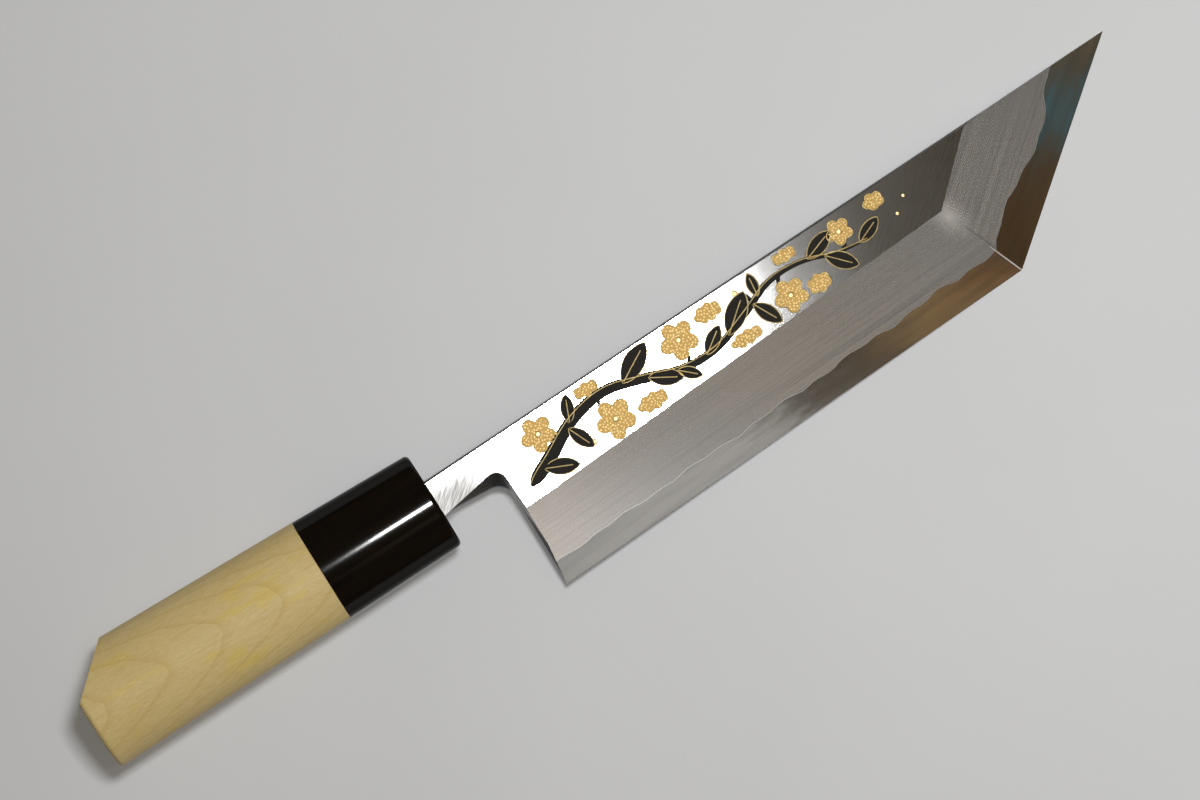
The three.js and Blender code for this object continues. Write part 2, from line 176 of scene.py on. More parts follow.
class KnifeOrnamentSettings(bpy.types.PropertyGroup):
    """Sizes and colours of the blossoming branch on the flat of the blade"""

    gold_colour: FloatVectorProperty(
        name="Gold", description="Gold leaf", default=(0.93, 0.73, 0.345, 1), **COLOUR)
    black_colour: FloatVectorProperty(
        name="Black", description="Black fill of the leaves", default=(0.009, 0.0085, 0.008, 1), **COLOUR)
    leaf_length: FloatProperty(
        name="Leaf Length", description="Length of a leaf of full size",
        unit="LENGTH", min=0.002, max=0.03, default=0.0125)
    leaf_width: FloatProperty(
        name="Leaf Width", description="Width of a leaf of full size",
        unit="LENGTH", min=0.0005, max=0.01, default=0.0058)
    leaf_relief: FloatProperty(
        name="Leaf Relief", description="Height of a leaf's crown over the flat",
        unit="LENGTH", min=0.00001, max=0.001, default=0.00016)
    rim_width: FloatProperty(
        name="Rim Width", description="Width of the gold lines round the leaves and blossoms",
        unit="LENGTH", min=0.00002, max=0.001, default=0.0003)
    blossom_size: FloatProperty(
        name="Blossom Size", description="Diameter of a blossom of full size",
        unit="LENGTH", min=0.002, max=0.02, default=0.0102)
    branch_width: FloatProperty(
        name="Branch Width", description="Width of the black branch at its foot",
        unit="LENGTH", min=0.0002, max=0.008, default=0.0036)
    dot_size: FloatProperty(
        name="Dot Size", description="Diameter of a gold dot of the blossoms",
        unit="LENGTH", min=0.00005, max=0.002, default=0.00062)
    dot_spacing: FloatProperty(
        name="Dot Spacing", description="Least distance between the centres of two dots",
        unit="LENGTH", min=0.00005, max=0.004, default=0.00058)
    dot_relief: FloatProperty(
        name="Dot Relief", description="Height of a dot over the flat",
        unit="LENGTH", min=0.00001, max=0.001, default=0.00005)
    seed: IntProperty(
        name="Seed", description="Picks the scatter of the dots", min=0, default=7)


class KnifeStageSettings(bpy.types.PropertyGroup):
    """Floor, light and camera"""

    floor_colour: FloatVectorProperty(
        name="Floor", description="Pale tabletop", default=(0.615, 0.622, 0.632, 1), **COLOUR)
    camera_height: FloatProperty(
        name="Camera Height", description="Distance from the camera to the blade",
        unit="LENGTH", min=0.1, max=5, default=1.616)
    camera_lens: FloatProperty(
        name="Lens", description="Focal length on a 36 mm wide sensor",
        subtype="DISTANCE_CAMERA", min=10, max=300, default=200)
    camera_turn: FloatProperty(
        name="Camera Turn", description="Slope of the knife in the picture",
        subtype="ANGLE", default=math.radians(31.93))
    key_power: FloatProperty(
        name="Key Power", description="Watts of the lamp beside the camera, that glossy surfaces mirror",
        default=2.73, **WATTS)
    top_power: FloatProperty(
        name="Top Power", description="Watts of the lamp over the knife, for matt surfaces",
        default=3.75, **WATTS)
    side_power: FloatProperty(
        name="Side Power", description="Watts of the lamp beyond the point, for matt surfaces",
        default=1.45, **WATTS)
    fill_power: FloatProperty(
        name="Fill Power", description="Watts of the wide dim lamp that the blade mirrors",
        default=0.2625, **WATTS)
    room_strength: FloatProperty(
        name="Room Strength", description="Brightness of the dim room round the table",
        min=0, max=10, default=1.0)


# Node tools

class Nodes:
    """A node tree that is built in short calls"""

    def __init__(self, tree):
        self.tree = tree

    def put(self, socket, value):
        """Links a socket to another one, or sets its value"""
        if isinstance(value, bpy.types.NodeSocket):
            self.tree.links.new(value, socket)
        else:
            socket.default_value = value

    def add(self, kind, inputs=None, **settings):
        """One node, with its settings, and with its inputs set or linked"""
        node = self.tree.nodes.new(kind)
        for name, value in settings.items():
            setattr(node, name, value)
        for name, value in (inputs or {}).items():
            self.put(node.inputs[name], value)
        return node

    def math(self, operation, first, second=0.0):
        """The value of a math node"""
        return self.add("ShaderNodeMath", {0: first, 1: second}, operation=operation).outputs[0]

    def mix(self, factor, first, second):
        """The colour between two colours"""
        node = self.add("ShaderNodeMix", data_type="RGBA")
        values = {"Factor_Float": factor, "A_Color": first, "B_Color": second}
        for socket in node.inputs:
            if socket.identifier in values:
                self.put(socket, values[socket.identifier])
        return next(socket for socket in node.outputs if socket.identifier == "Result_Color")

    def range(self, value, low, high, to_low=0.0, to_high=1.0):
        """A value moved from one range to another, and held inside it"""
        inputs = {"Value": value, "From Min": low, "From Max": high, "To Min": to_low, "To Max": to_high}
        return self.add("ShaderNodeMapRange", inputs).outputs["Result"]

    def turn(self, vector, angle):
        """A vector turned round Z"""
        inputs = {"Vector": vector, "Angle": angle}
        return self.add("ShaderNodeVectorRotate", inputs, rotation_type="Z_AXIS").outputs["Vector"]

    def noise(self, vector, along, across, detail, roughness):
        """Noise of one length along X and of another across it"""
        size = self.add("ShaderNodeCombineXYZ", {"X": along, "Y": across, "Z": across}).outputs["Vector"]
        scaled = self.add("ShaderNodeVectorMath", {0: vector, 1: size}, operation="DIVIDE").outputs["Vector"]
        return self.add("ShaderNodeTexNoise", {
            "Vector": scaled, "Scale": 1.0, "Detail": detail, "Roughness": roughness}).outputs[0]


def noise_group(name, numbers, fill):
    """A shader group that takes a vector and some numbers: a function fills it once"""
    if name not in bpy.data.node_groups:
        tree = bpy.data.node_groups.new(name, "ShaderNodeTree")
        tree.interface.new_socket("Vector", in_out="INPUT", socket_type="NodeSocketVector")
        for label in numbers:
            tree.interface.new_socket(label, in_out="INPUT", socket_type="NodeSocketFloat")
        tree.interface.new_socket("Value", in_out="OUTPUT", socket_type="NodeSocketFloat")
        source = tree.nodes.new("NodeGroupInput").outputs
        sink = tree.nodes.new("NodeGroupOutput").inputs["Value"]
        tree.links.new(fill(Nodes(tree), source), sink)
    return bpy.data.node_groups[name]


def fill_lines(group, source):
    """Fine lines in one direction, as a mask"""
    turned = group.turn(source["Vector"], source["Angle"])
    noise = group.noise(turned, source["Length"], source["Width"], 1.5, 0.55)
    low = group.math("SUBTRACT", 0.75, group.math("MULTIPLY", source["Cover"], 0.5))
    return group.range(noise, low, group.math("ADD", low, 0.22))


def fill_blotches(group, source):
    """Slow blotches between two values"""
    along = group.math("MULTIPLY", source["Size"], source["Stretch"])
    noise = group.noise(source["Vector"], along, source["Size"], 2.5, 0.5)
    return group.range(noise, 0.33, 0.67, source["Low"], source["High"])


class Surface(Nodes):
    """A material with a Principled shader, in the piece's own coordinates"""

    def __init__(self, name):
        self.material = bpy.data.materials.new(name)
        self.material.use_nodes = True
        super().__init__(self.material.node_tree)
        self.shader = self.tree.nodes["Principled BSDF"].inputs
        self.place = self.tree.nodes.new("ShaderNodeTexCoord").outputs["Object"]

    def set(self, inputs):
        """Sets or links inputs of the shader"""
        for name, value in inputs.items():
            self.put(self.shader[name], value)
        return self.material

    def linked(self, name):
        """What an input of the shader is linked to so far"""
        return self.shader[name].links[0].from_socket

    def axes(self):
        """X, Y and Z of the place"""
        return self.add("ShaderNodeSeparateXYZ", {"Vector": self.place}).outputs

    def lines(self, angle, length, width, cover):
        """One run of fine lines, by an angle in degrees, and sizes in millimetres"""
        group = noise_group("Fine Lines", ("Angle", "Length", "Width", "Cover"), fill_lines)
        return self.add("ShaderNodeGroup", {
            "Vector": self.place, "Angle": math.radians(angle), "Length": length * MM,
            "Width": width * MM, "Cover": cover}, node_tree=group).outputs["Value"]

    def blotches(self, size, low, high, stretch=1.0, place=None):
        """One run of slow blotches, by a size in millimetres"""
        group = noise_group("Slow Blotches", ("Size", "Stretch", "Low", "High"), fill_blotches)
        return self.add("ShaderNodeGroup", {
            "Vector": self.place if place is None else place, "Size": size * MM, "Stretch": stretch,
            "Low": low, "High": high}, node_tree=group).outputs["Value"]

    def bump(self, height, strength, depth, **under):
        """Relief from a height, by a depth in millimetres, over another relief if there is one"""
        return self.add("ShaderNodeBump", {
            "Strength": strength, "Distance": depth * MM, "Height": height, **under}).outputs["Normal"]


def shade(colour, red, green=None, blue=None):
    """A colour made darker, by one share or by one for each channel"""
    shares = (red, red if green is None else green, red if blue is None else blue)
    return [channel * share for channel, share in zip(colour, shares)] + [1]


# Materials

def plain_material(name, colour, roughness, metallic=0.0, specular=0.5):
    """One even colour"""
    return Surface(name).set({
        "Base Color": colour, "Roughness": roughness, "Metallic": metallic, "Specular IOR Level": specular})


def ground_metal(name, colour, roughness, runs, marks, relief, haze, dark=0.8, tint=None, wave=None):
    """Ground metal: runs of fine lines roughen it and cut its surface, slow haze dulls it, and a slow
    wave, where it has one, is what hand stones leave of the plane"""
    metal = Surface(name)
    total = metal.lines(*runs[0])
    for run in runs[1:]:
        total = metal.math("ADD", total, metal.lines(*run))
    turned = metal.turn(metal.place, math.radians(runs[0][0]))
    size, spread, stretch = haze
    dull = metal.math("ADD", metal.blotches(size, -spread, spread, stretch, turned), roughness)
    toned = metal.mix(metal.range(total, 0.0, 1.6), colour, shade(colour, dark))
    if tint is not None:
        share = metal.range(metal.blotches(size * 1.7, -0.4, 0.9, stretch, turned), 0.0, 1.0)
        toned = metal.mix(share, toned, shade(colour, tint))
    under = {}
    if wave is not None:
        width, depth = wave
        under["Normal"] = metal.bump(metal.blotches(width, 0.0, 1.0, 1.6, turned), 1.0, depth)
    metal.set({
        "Base Color": toned, "Metallic": 1.0,
        "Roughness": metal.math("ADD", metal.math("MULTIPLY", total, marks), dull),
        "Normal": metal.bump(total, relief, 0.02, **under)})
    return metal


def flat_material(finish):
    """Satin of the flat: paper scratches on a slant, and coarser ones on the neck beside the ferrule"""
    runs = [(-40, 7, 0.3, 0.6), (-44, 4, 0.24, 0.55), (-35, 6, 0.3, 0.45)]
    metal = ground_metal(
        "satin_flat", finish.flat_colour, finish.flat_roughness, runs, 0.008, 0.005, (18, 0.003, 1), 0.6)
    axes = metal.axes()
    behind = metal.range(axes["X"], 12 * MM, -8 * MM)
    under = metal.range(axes["Y"], 8 * MM, 0.5 * MM)
    low = metal.range(axes["Y"], 0.5 * MM, -3 * MM, 0.0, 0.035)
    coarse = metal.range(metal.lines(-58, 9, 0.5, 0.6), 0.0, 1.0, 0.45, 0.505)
    neck = metal.math("MULTIPLY", metal.math("MULTIPLY", behind, under), metal.math("ADD", coarse, low))
    return metal.set({"Roughness": metal.math("ADD", metal.linked("Roughness"), neck)})


def painted_mitre_glint(metal):
    """Soft mask round the upper end of the mitre, for a painted highlight that stands in for the glint where
    the rounded ridges meet
    """
    mitre = (CORNER - RIDGE_LINE[1]).normalized()
    centre = RIDGE_LINE[1] + mitre * GLINT_SETBACK
    local = metal.add("ShaderNodeMapping", {
        "Vector": metal.place, "Location": centre, "Rotation": (0, 0, math.atan2(mitre.y, mitre.x)),
        "Scale": GLINT_SIZE}, vector_type="TEXTURE")
    reach = metal.add("ShaderNodeVectorMath", {0: local.outputs["Vector"]}, operation="LENGTH")
    return metal.math("POWER", metal.range(reach.outputs["Value"], 1.0, 0.0), GLINT_FADE)


def bevel_material(finish, name, angle):
    """Stone marks along the soft iron of a bevel, warmer beside the heel, with a painted highlight at the
    upper end of the mitre
    """
    runs = [(-angle, 160, 0.9, 0.62), (-angle, 70, 0.42, 0.55)]
    metal = ground_metal(
        name, finish.bevel_colour, finish.bevel_roughness, runs, 0.012, 0.001, (9, 0.003, 12), 0.78, 0.95)
    heel = metal.range(metal.axes()["X"], 50 * MM, -2 * MM)
    toned = metal.mix(heel, metal.linked("Base Color"), finish.heel_colour)
    # Painted highlight: lighter colour and less metal at the upper end of the mitre, for the glint of the
    # rounded ridges
    wear_and_glint = painted_mitre_glint(metal)
    return metal.set({
        "Base Color": metal.mix(wear_and_glint, toned, GLINT_COLOUR),
        "Metallic": metal.range(wear_and_glint, 0.0, 1.0, BEVEL_METALLIC, GLINT_METALLIC)})


def edge_material(finish, name, angle):
    """Polished hard steel with faint lines along the edge"""
    runs = [(-angle, 60, 0.22, 0.36), (-angle, 20, 0.1, 0.3)]
    return ground_metal(
        name, finish.edge_colour, finish.edge_roughness, runs, 0.03, 0.01, (1.6, 0.012, 12),
        tint=0.82, wave=(11, 0.012)).material


def weld_material():
    """Dull joint where the two metals meet"""
    return plain_material("weld_joint", (0.2, 0.195, 0.185, 1), 1.0, specular=0.0)


def mitre_line_material():
    """Light that the rounded ridge of the mitre catches"""
    return plain_material("mitre_light", (0.66, 0.64, 0.61, 1), 0.55, metallic=0.3)


def weld_line_material():
    """Pale line along the weld, that fades towards the tip"""
    line = Surface("weld_line")
    fade = line.range(line.axes()["X"], 25 * MM, 85 * MM)
    colour = line.mix(fade, (0.62, 0.61, 0.59, 1), (0.3, 0.285, 0.26, 1))
    return line.set({"Base Color": colour, "Metallic": 0.3, "Roughness": 0.6})


def back_material(finish):
    """Wheel marks across the hollow back"""
    runs = [(90, 30, 0.22, 0.55), (86, 10, 0.14, 0.45)]
    return ground_metal("hollow_back", finish.edge_colour, 0.27, runs, 0.05, 0.05, (20, 0.04, 1)).material


def side_material(finish):
    """Smooth spine, neck and heel, a little darker than the flat"""
    runs = [(0, 30, 0.25, 0.4)]
    return ground_metal("smooth_side", finish.bevel_colour, 0.22, runs, 0.05, 0.03, (12, 0.04, 2)).material


def chin_material(finish):
    """Facet behind the heel, with painted reflection in its colour: near black, brown under the neck, and a
    painted highlight that makes it brighter at its rim on the back
    """
    # The near-black colour is painted dark reflection, the brown under the neck is painted reflection, and
    # the brighter rim is a painted highlight
    dark_reflection = (0.018, 0.015, 0.012, 1)
    metal = ground_metal("dark_chin", dark_reflection, 0.2, [(40, 6, 0.2, 0.4)], 0.05, 0.02, (6, 0.04, 1))
    axes = metal.axes()
    neck = metal.range(axes["X"], -2.5 * MM, -9 * MM)
    rim_highlight = metal.range(axes["Z"], 0.8 * MM, 0.1 * MM, 0.0, 0.5)
    brown_reflection = metal.mix(neck, dark_reflection, (0.055, 0.044, 0.034, 1))
    return metal.set({"Base Color": metal.mix(rim_highlight, brown_reflection, finish.bevel_colour)})


def horn_material(finish):
    """Polished black horn with faint brown streaks and hair scratches"""
    horn = Surface("black_horn")
    streaks = horn.math("MULTIPLY", horn.blotches(2.2, 0.0, 1.0, 9), 0.5)
    hair = horn.lines(84, 9, 0.12, 0.3)
    facing = horn.add("ShaderNodeLayerWeight", {"Blend": 0.5}).outputs["Facing"]
    return horn.set({
        "Base Color": horn.mix(streaks, finish.horn_colour, (0.009, 0.0042, 0.0018, 1)),
        "Roughness": horn.range(hair, 0.0, 1.0, 0.09, 0.12),
        "Specular IOR Level": horn.range(facing, 0.12, 0.5, 0.38, 0.04),
        "Normal": horn.bump(hair, 0.03, 0.01)})


def wood_material(finish):
    """Flat-sawn magnolia: thin growth lines round a far pith, fibre flecks and yellow tints"""
    wood = Surface("magnolia")
    pith = wood.add("ShaderNodeMapping", {
        "Vector": wood.place, "Location": (0.0, 0.004, 0.05),
        "Rotation": (0.0, math.radians(6), math.radians(1))})
    rings = wood.add("ShaderNodeTexWave", {
        "Vector": pith.outputs["Vector"], "Scale": 2 * math.pi / (20 * finish.ring_spacing),
        "Distortion": 1.3, "Detail": 2.0, "Detail Scale": 0.8, "Detail Roughness": 0.5},
        wave_type="RINGS", rings_direction="X", wave_profile="SAW")
    flecks = wood.lines(0, 2.4, 0.19, 0.52)
    fibre = wood.lines(1.5, 18, 0.3, 0.6)
    colour = finish.wood_colour
    for mask, share, tone in (
            (wood.blotches(10, 0.0, 0.5, 3), 1.0, (0.64, 0.5, 0.24, 1)),
            (wood.lines(0, 1.6, 0.34, 0.56), 0.25, (0.74, 0.62, 0.36, 1)),
            (wood.range(wood.blotches(5, -2.9, 1.0, 3.4), 0.0, 1.0), 0.7, (0.64, 0.485, 0.12, 1)),
            (wood.range(rings.outputs["Fac"], 0.8, 1.0), 0.42, finish.ring_colour),
            (fibre, 0.22, (0.46, 0.32, 0.12, 1)),
            (flecks, 0.26, (0.38, 0.25, 0.085, 1))):
        colour = wood.mix(wood.math("MULTIPLY", mask, share), colour, tone)
    height = wood.math("SUBTRACT", wood.math("MULTIPLY", fibre, 0.35), flecks)
    return wood.set({
        "Base Color": colour, "Roughness": wood.range(fibre, 0.0, 1.0, 0.48, 0.62),
        "Specular IOR Level": 0.35, "Normal": wood.bump(height, 0.09, 0.05)})


def gold_material(ornament):
    """Gold leaf, worn a little thin here and there"""
    leaf = Surface("gold_leaf")
    gold = ornament.gold_colour
    wear_and_glint = leaf.range(leaf.blotches(2.5, -0.3, 0.8), 0.0, 1.0)
    return leaf.set({
        "Base Color": leaf.mix(wear_and_glint, gold, shade(gold, 0.88, 0.8, 0.68)), "Metallic": 1.0,
        "Roughness": leaf.range(leaf.blotches(0.4, 0.0, 1.0), 0.0, 1.0, 0.4, 0.48)})


def ground_material(ornament):
    """Gold at the bottom of the punched ground, darkened with painted shade between the dots"""
    # Painted shade: the gold made darker and browner where it shows between the dots
    dark = shade(ornament.gold_colour, 0.6, 0.5, 0.36)
    return plain_material("punched_ground", dark, 0.57, metallic=1.0)


def black_material(ornament):
    """Black fill with fine chisel strokes"""
    fill = Surface("black_fill")
    strokes = fill.lines(35, 2.5, 0.13, 0.6)
    lit = fill.math("MULTIPLY", strokes, 0.6)
    return fill.set({
        "Base Color": fill.mix(lit, ornament.black_colour, (0.035, 0.028, 0.018, 1)),
        "Roughness": fill.range(strokes, 0.0, 1.0, 0.62, 0.8), "Specular IOR Level": 0.25,
        "Normal": fill.bump(strokes, 0.4, 0.03)})


def floor_material(stage):
    """Pale matt tabletop with a faint mottle"""
    floor = Surface("tabletop")
    light = stage.floor_colour
    mottle = floor.blotches(60, 0.0, 1.0)
    return floor.set({"Base Color": floor.mix(mottle, light, shade(light, 0.98)), "Roughness": 0.62})


# Mesh tools

def shade_smooth(bm, degrees):
    """Smooth faces, with the edges sharp that turn by more than an angle"""
    for face in bm.faces:
        face.smooth = True
    for edge in bm.edges:
        edge.smooth = len(edge.link_faces) == 2 and edge.calc_face_angle() < math.radians(degrees)


def mitre_edges(bm):
    """The ridge where the two bevels meet"""
    edges = []
    for edge in bm.edges:
        bevels = [face for face in edge.link_faces if BEVEL_LIMIT < face.normal.z < FLAT_LIMIT]
        leans = sorted(face.normal.x for face in bevels)
        if len(leans) == 2 and leans[0] < TIP_LEAN < leans[1]:
            edges.append(edge)
    return edges


def is_chin(normal, place):
    """Whether a face of the body belongs to the slanted facet between the neck and the heel"""
    leans = normal.z > CHIN_LEAN and min(normal.x, normal.y) < -CHIN_LEAN
    return leans and place.x < CHIN_REACH and place.y < 0


def chin_edges(bm):
    """The edges between the flat and the facet behind the heel"""
    edges = []
    for edge in bm.edges:
        flats = [face for face in edge.link_faces if face.normal.dot(FACE_NORMAL) > FLAT_LIMIT]
        chins = [face for face in edge.link_faces if is_chin(face.normal, face.calc_center_median())]
        if len(flats) == 1 and chins:
            edges.append(edge)
    return edges


def round_edges(bm, edges, width, mark):
    """Edges rounded to a width, with the new faces marked by a number"""
    made = bmesh.ops.bevel(
        bm, geom=edges, offset=width, segments=ROUND_STEPS, profile=0.5, affect="EDGES", clamp_overlap=True)
    layer = bm.faces.layers.int[ROUNDED]
    for face in made["faces"]:
        face[layer] = mark


def ruled_normal(place, edge, ridge, tilt):
    """Normal of a bevel at a place: it is ruled from its edge to its ridge, and the polish may tilt it a
    little more towards the edge"""
    along = (edge[1] - edge[0]).to_2d().normalized()

    def pace(line):
        return (line[1] - line[0]) / (line[1] - line[0]).to_2d().dot(along)

    reach = (place - edge[0]).to_2d().dot(along)
    low = edge[0] + pace(edge) * reach
    high = ridge[0] + pace(ridge) * (reach - (ridge[0] - edge[0]).to_2d().dot(along))
    rise = high - low
    share = (place - low).to_2d().dot(rise.to_2d()) / rise.to_2d().length_squared
    normal = pace(edge).lerp(pace(ridge), share).cross(rise).normalized()
    if normal.z < 0:
        normal.negate()
    return (normal - rise.to_2d().normalized().to_3d() * tilt).normalized()


def bevel_rule(lines, tilt=0.0):
    """The normal of a bevel as a function of the place"""
    return lambda place: ruled_normal(place, *lines, tilt)


def even_normals(piece, rules):
    """Normals that change evenly over the faces that are not rounded, by a rule for a material's number"""
    mesh = piece.data
    rounded = mesh.attributes[ROUNDED].data
    normals = [Vector((0, 0, 0))] * len(mesh.loops)
    for face in mesh.polygons:
        if face.material_index in rules and not rounded[face.index].value:
            for loop in face.loop_indices:
                place = mesh.vertices[mesh.loops[loop].vertex_index].co
                normals[loop] = rules[face.material_index](place)
    mesh.normals_split_custom_set(normals)
    mesh.attributes.remove(mesh.attributes[ROUNDED])


def new_piece(name, mesh):
    """A mesh as an object of the scene"""
    piece = bpy.data.objects.new(name, mesh)
    bpy.context.scene.collection.objects.link(piece)
    return piece


def finished_copy(node_name, piece_name, smooth_degrees, mitre=0.0, chin=0.0):
    """A welded copy of a solid, shaded smooth up to an angle, with the ridge of its mitre and the edge of
    its chin rounded to a width"""
    mesh = bpy.data.meshes.new(piece_name)
    bm = bmesh.new()
    bm.from_mesh(frame["nodes"][node_name].data)
    bmesh.ops.remove_doubles(bm, verts=bm.verts, dist=MERGE_DISTANCE)
    bmesh.ops.dissolve_degenerate(bm, edges=bm.edges, dist=MERGE_DISTANCE)
    bmesh.ops.dissolve_limit(bm, angle_limit=COPLANAR, verts=bm.verts, edges=bm.edges)
    if mitre:
        bm.faces.layers.int.new(ROUNDED)
        round_edges(bm, mitre_edges(bm), mitre, MITRE_MARK)
    if chin:
        round_edges(bm, chin_edges(bm), chin, CHIN_MARK)
    shade_smooth(bm, smooth_degrees)
    bm.to_mesh(mesh)
    bm.free()
    return new_piece(piece_name, mesh)


def settle(piece, slot, *replaced):
    """Ties a finished piece to the knife"""
    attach(piece, BODY)
    if replaced:
        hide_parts(*replaced)


def paint_faces(piece, materials, choose):
    """Gives each face the material that a rule picks by number"""
    for material in materials:
        piece.data.materials.append(material)
    for face in piece.data.polygons:
        face.material_index = choose(face)


# Pieces

class KNIFE_OT_blade_body(bpy.types.Operator):
    """Finish the soft-iron body: satin flat, stone-marked bevels, smooth spine and neck"""

    bl_idname = "knife.blade_body"
    bl_label = "Blade Body"

    def execute(self, context):
        finish = context.scene.knife_finish
        piece = finished_copy("blade_iron", "blade_body", BLADE_SMOOTH, MITRE_ROUND, CHIN_ROUND)
        rounded = [mark.value for mark in piece.data.attributes[ROUNDED].data]
        flat, bevel, tip, side, chin = range(5)
        materials = [
            flat_material(finish),
            bevel_material(finish, "stone_bevel", EDGE_ANGLE),
            bevel_material(finish, "stone_tip", TIP_ANGLE),
            side_material(finish),
            chin_material(finish),
        ]

        def choose(face):
            if face.normal.dot(FACE_NORMAL) > FLAT_LIMIT or rounded[face.index] == CHIN_MARK:
                return flat
            if face.normal.z < BEVEL_LIMIT:
                return chin if is_chin(face.normal, face.center) else side
            return tip if face.normal.x > TIP_LEAN else bevel

        paint_faces(piece, materials, choose)
        even_normals(piece, {
            flat: lambda place: FACE_NORMAL, bevel: bevel_rule(MAIN_BEVEL), tip: bevel_rule(TIP_BEVEL)})
        settle(piece, "soft_iron", "blade_iron")
        return {"FINISHED"}


class KNIFE_OT_blade_edge(bpy.types.Operator):
    """Finish the hard steel: polished bands at the edges and a hollow back"""

    bl_idname = "knife.blade_edge"
    bl_label = "Blade Edge Steel"

    def execute(self, context):
        finish = context.scene.knife_finish
        piece = finished_copy("blade_steel", "blade_edge", BLADE_SMOOTH, EDGE_MITRE_ROUND)
        edge, tip, back, weld, side, chin = range(6)
        materials = [
            edge_material(finish, "polished_edge", EDGE_ANGLE),
            edge_material(finish, "polished_tip", TIP_ANGLE),
            back_material(finish),
            weld_material(),
            bpy.data.materials["smooth_side"],
            bpy.data.materials["dark_chin"],
        ]

        def choose(face):
            if face.normal.z < -BEVEL_LIMIT and face.center.z > RIM_HEIGHT:
                return back
            if face.normal.dot(FACE_NORMAL) > WELD_LIMIT:
                return weld
            if abs(face.normal.z) < BEVEL_LIMIT:
                return chin if is_chin(face.normal, face.center) else side
            return tip if face.normal.x > TIP_LEAN else edge

        paint_faces(piece, materials, choose)
        even_normals(piece, {edge: bevel_rule(MAIN_BEVEL, EDGE_TILT), tip: bevel_rule(TIP_BEVEL, EDGE_TILT)})
        settle(piece, "hard_steel", "blade_steel")
        return {"FINISHED"}


class KNIFE_OT_ferrule(bpy.types.Operator):
    """Finish the horn ring at the front of the handle"""

    bl_idname = "knife.ferrule"
    bl_label = "Horn Ferrule"

    def execute(self, context):
        piece = finished_copy("horn_ferrule", "ferrule", HANDLE_SMOOTH)
        piece.data.materials.append(horn_material(context.scene.knife_finish))
        settle(piece, "black_horn", "horn_ferrule")
        return {"FINISHED"}


class KNIFE_OT_grip(bpy.types.Operator):
    """Finish the magnolia grip"""

    bl_idname = "knife.grip"
    bl_label = "Magnolia Grip"

    def execute(self, context):
        piece = finished_copy("handle_grip", "grip", HANDLE_SMOOTH)
        piece.data.materials.append(wood_material(context.scene.knife_finish))
        settle(piece, "magnolia", "handle_grip")
        return {"FINISHED"}


# Ornament

FACE_ORIGIN = Vector((0, 0, FACE_POINT.dot(FACE_NORMAL) / FACE_NORMAL.z))
FACE_TURN = Vector((0, 0, 1)).rotation_difference(FACE_NORMAL)
FACE_FRAME = Matrix.Translation(FACE_ORIGIN) @ FACE_TURN.to_matrix().to_4x4()

# Places on the flat are given by X in millimetres and by a share of half the flat's width from its middle
BRANCH_KNOTS = (
    (5, -0.6, 0.2), (7.5, -0.5, 0.9), (13, -0.24, 1.0), (22, 0.24, 0.9), (32, 0.4, 0.8),
    (42, 0.06, 0.74), (51, -0.34, 0.68), (61, -0.42, 0.6), (71, -0.06, 0.52), (80, 0.34, 0.45),
    (89, 0.3, 0.37), (98, -0.12, 0.28), (107, -0.34, 0.15))
BRANCH_STEPS = 6
BRANCH_SIDES = 12
BRANCH_FLATTEN = 0.1
LIGHT_OFFSET = 0.3
LIGHT_HEIGHT = 0.4
STEM_WIDTH = 0.26
STEM_FLARE = 1.3
STEM_BOW = 0.16
STEM_STOP = 0.3
LEAVES = (
    (10, -0.42, -24, 0.7), (21, 0.2, 68, 0.75), (20, 0.1, -66, 0.62), (37, 0.28, 30, 0.9),
    (43, 0.0, -30, 0.7), (50, -0.3, -42, 0.5), (65, -0.32, 40, 0.9), (58, -0.42, 36, 0.62),
    (76, 0.16, 84, 0.62), (74, 0.04, -62, 0.7), (91, 0.24, 20, 0.7), (95, 0.02, -46, 0.7),
    (104, -0.28, 24, 0.6))
LEAF_MARGIN = 0.7 * MM
LEAF_FOOT = 0.8
LEAF_TIP = 0.8
LEAF_ROWS = 8
LEAF_LEAST = 0.02
LEAF_SHOULDER = 0.35
LEAF_SECTION = ((1, -0.2), (1, LEAF_SHOULDER), (0, 1), (-1, LEAF_SHOULDER), (-1, -0.2))
LEAF_RIB = (0.04, 0.8)
RIM_SIDES = 6
BLOSSOMS = ((13, 0.43, 0.9), (31, -0.42, 1.0), (54, 0.4, 0.98), (83, -0.4, 0.84), (101, 0.4, 0.66))
BUDS = ((24, -0.62, 0.24), (71.5, 0.62, 0.26))
PETALS = 5
PETAL_NOTCH = 0.34
PETAL_STEPS = 12
CLOUDS = (
    (28.5, 0.72, 3.0, 1.2), (41, -0.62, 3.6, 1.7), (63.5, 0.6, 3.2, 1.8), (68.5, -0.68, 3.8, 1.3),
    (90.5, -0.6, 2.6, 1.8), (86.5, 0.74, 2.8, 1.1), (112, 0.6, 2.2, 1.6))
CLOUD_STEPS = 72
CLOUD_SCALLOP = 2.3
CLOUD_PUFF = 0.55
GROUND_LIFT = 0.05 * MM
LOOSE_DOTS = ((3.4, 2.4), (6.4, -9.6), (5.6, -5.2), (113, 4.2), (115.5, -0.4), (119, 2.6))
DOT_SIDES = 8
DOT_RINGS = ((1.0, -0.3), (0.92, 0.35), (0.55, 0.85))
DOT_CROWD = 3.0
DOT_LEAST = (0.72, 0.72, 0.8)
DOT_MOST = (1.08, 1.08, 1.1)
HEART_SCALE = (2.7, 2.7, 2.0)
LOOSE_SCALE = (1.7, 1.7, 1.1)


def ray(angle):
    """A step of one unit in the plane, by its angle"""
    return Vector((math.cos(angle), math.sin(angle), 0))


def round_angles(steps):
    """Even angles round a circle"""
    return [2 * math.pi * i / steps for i in range(steps)]


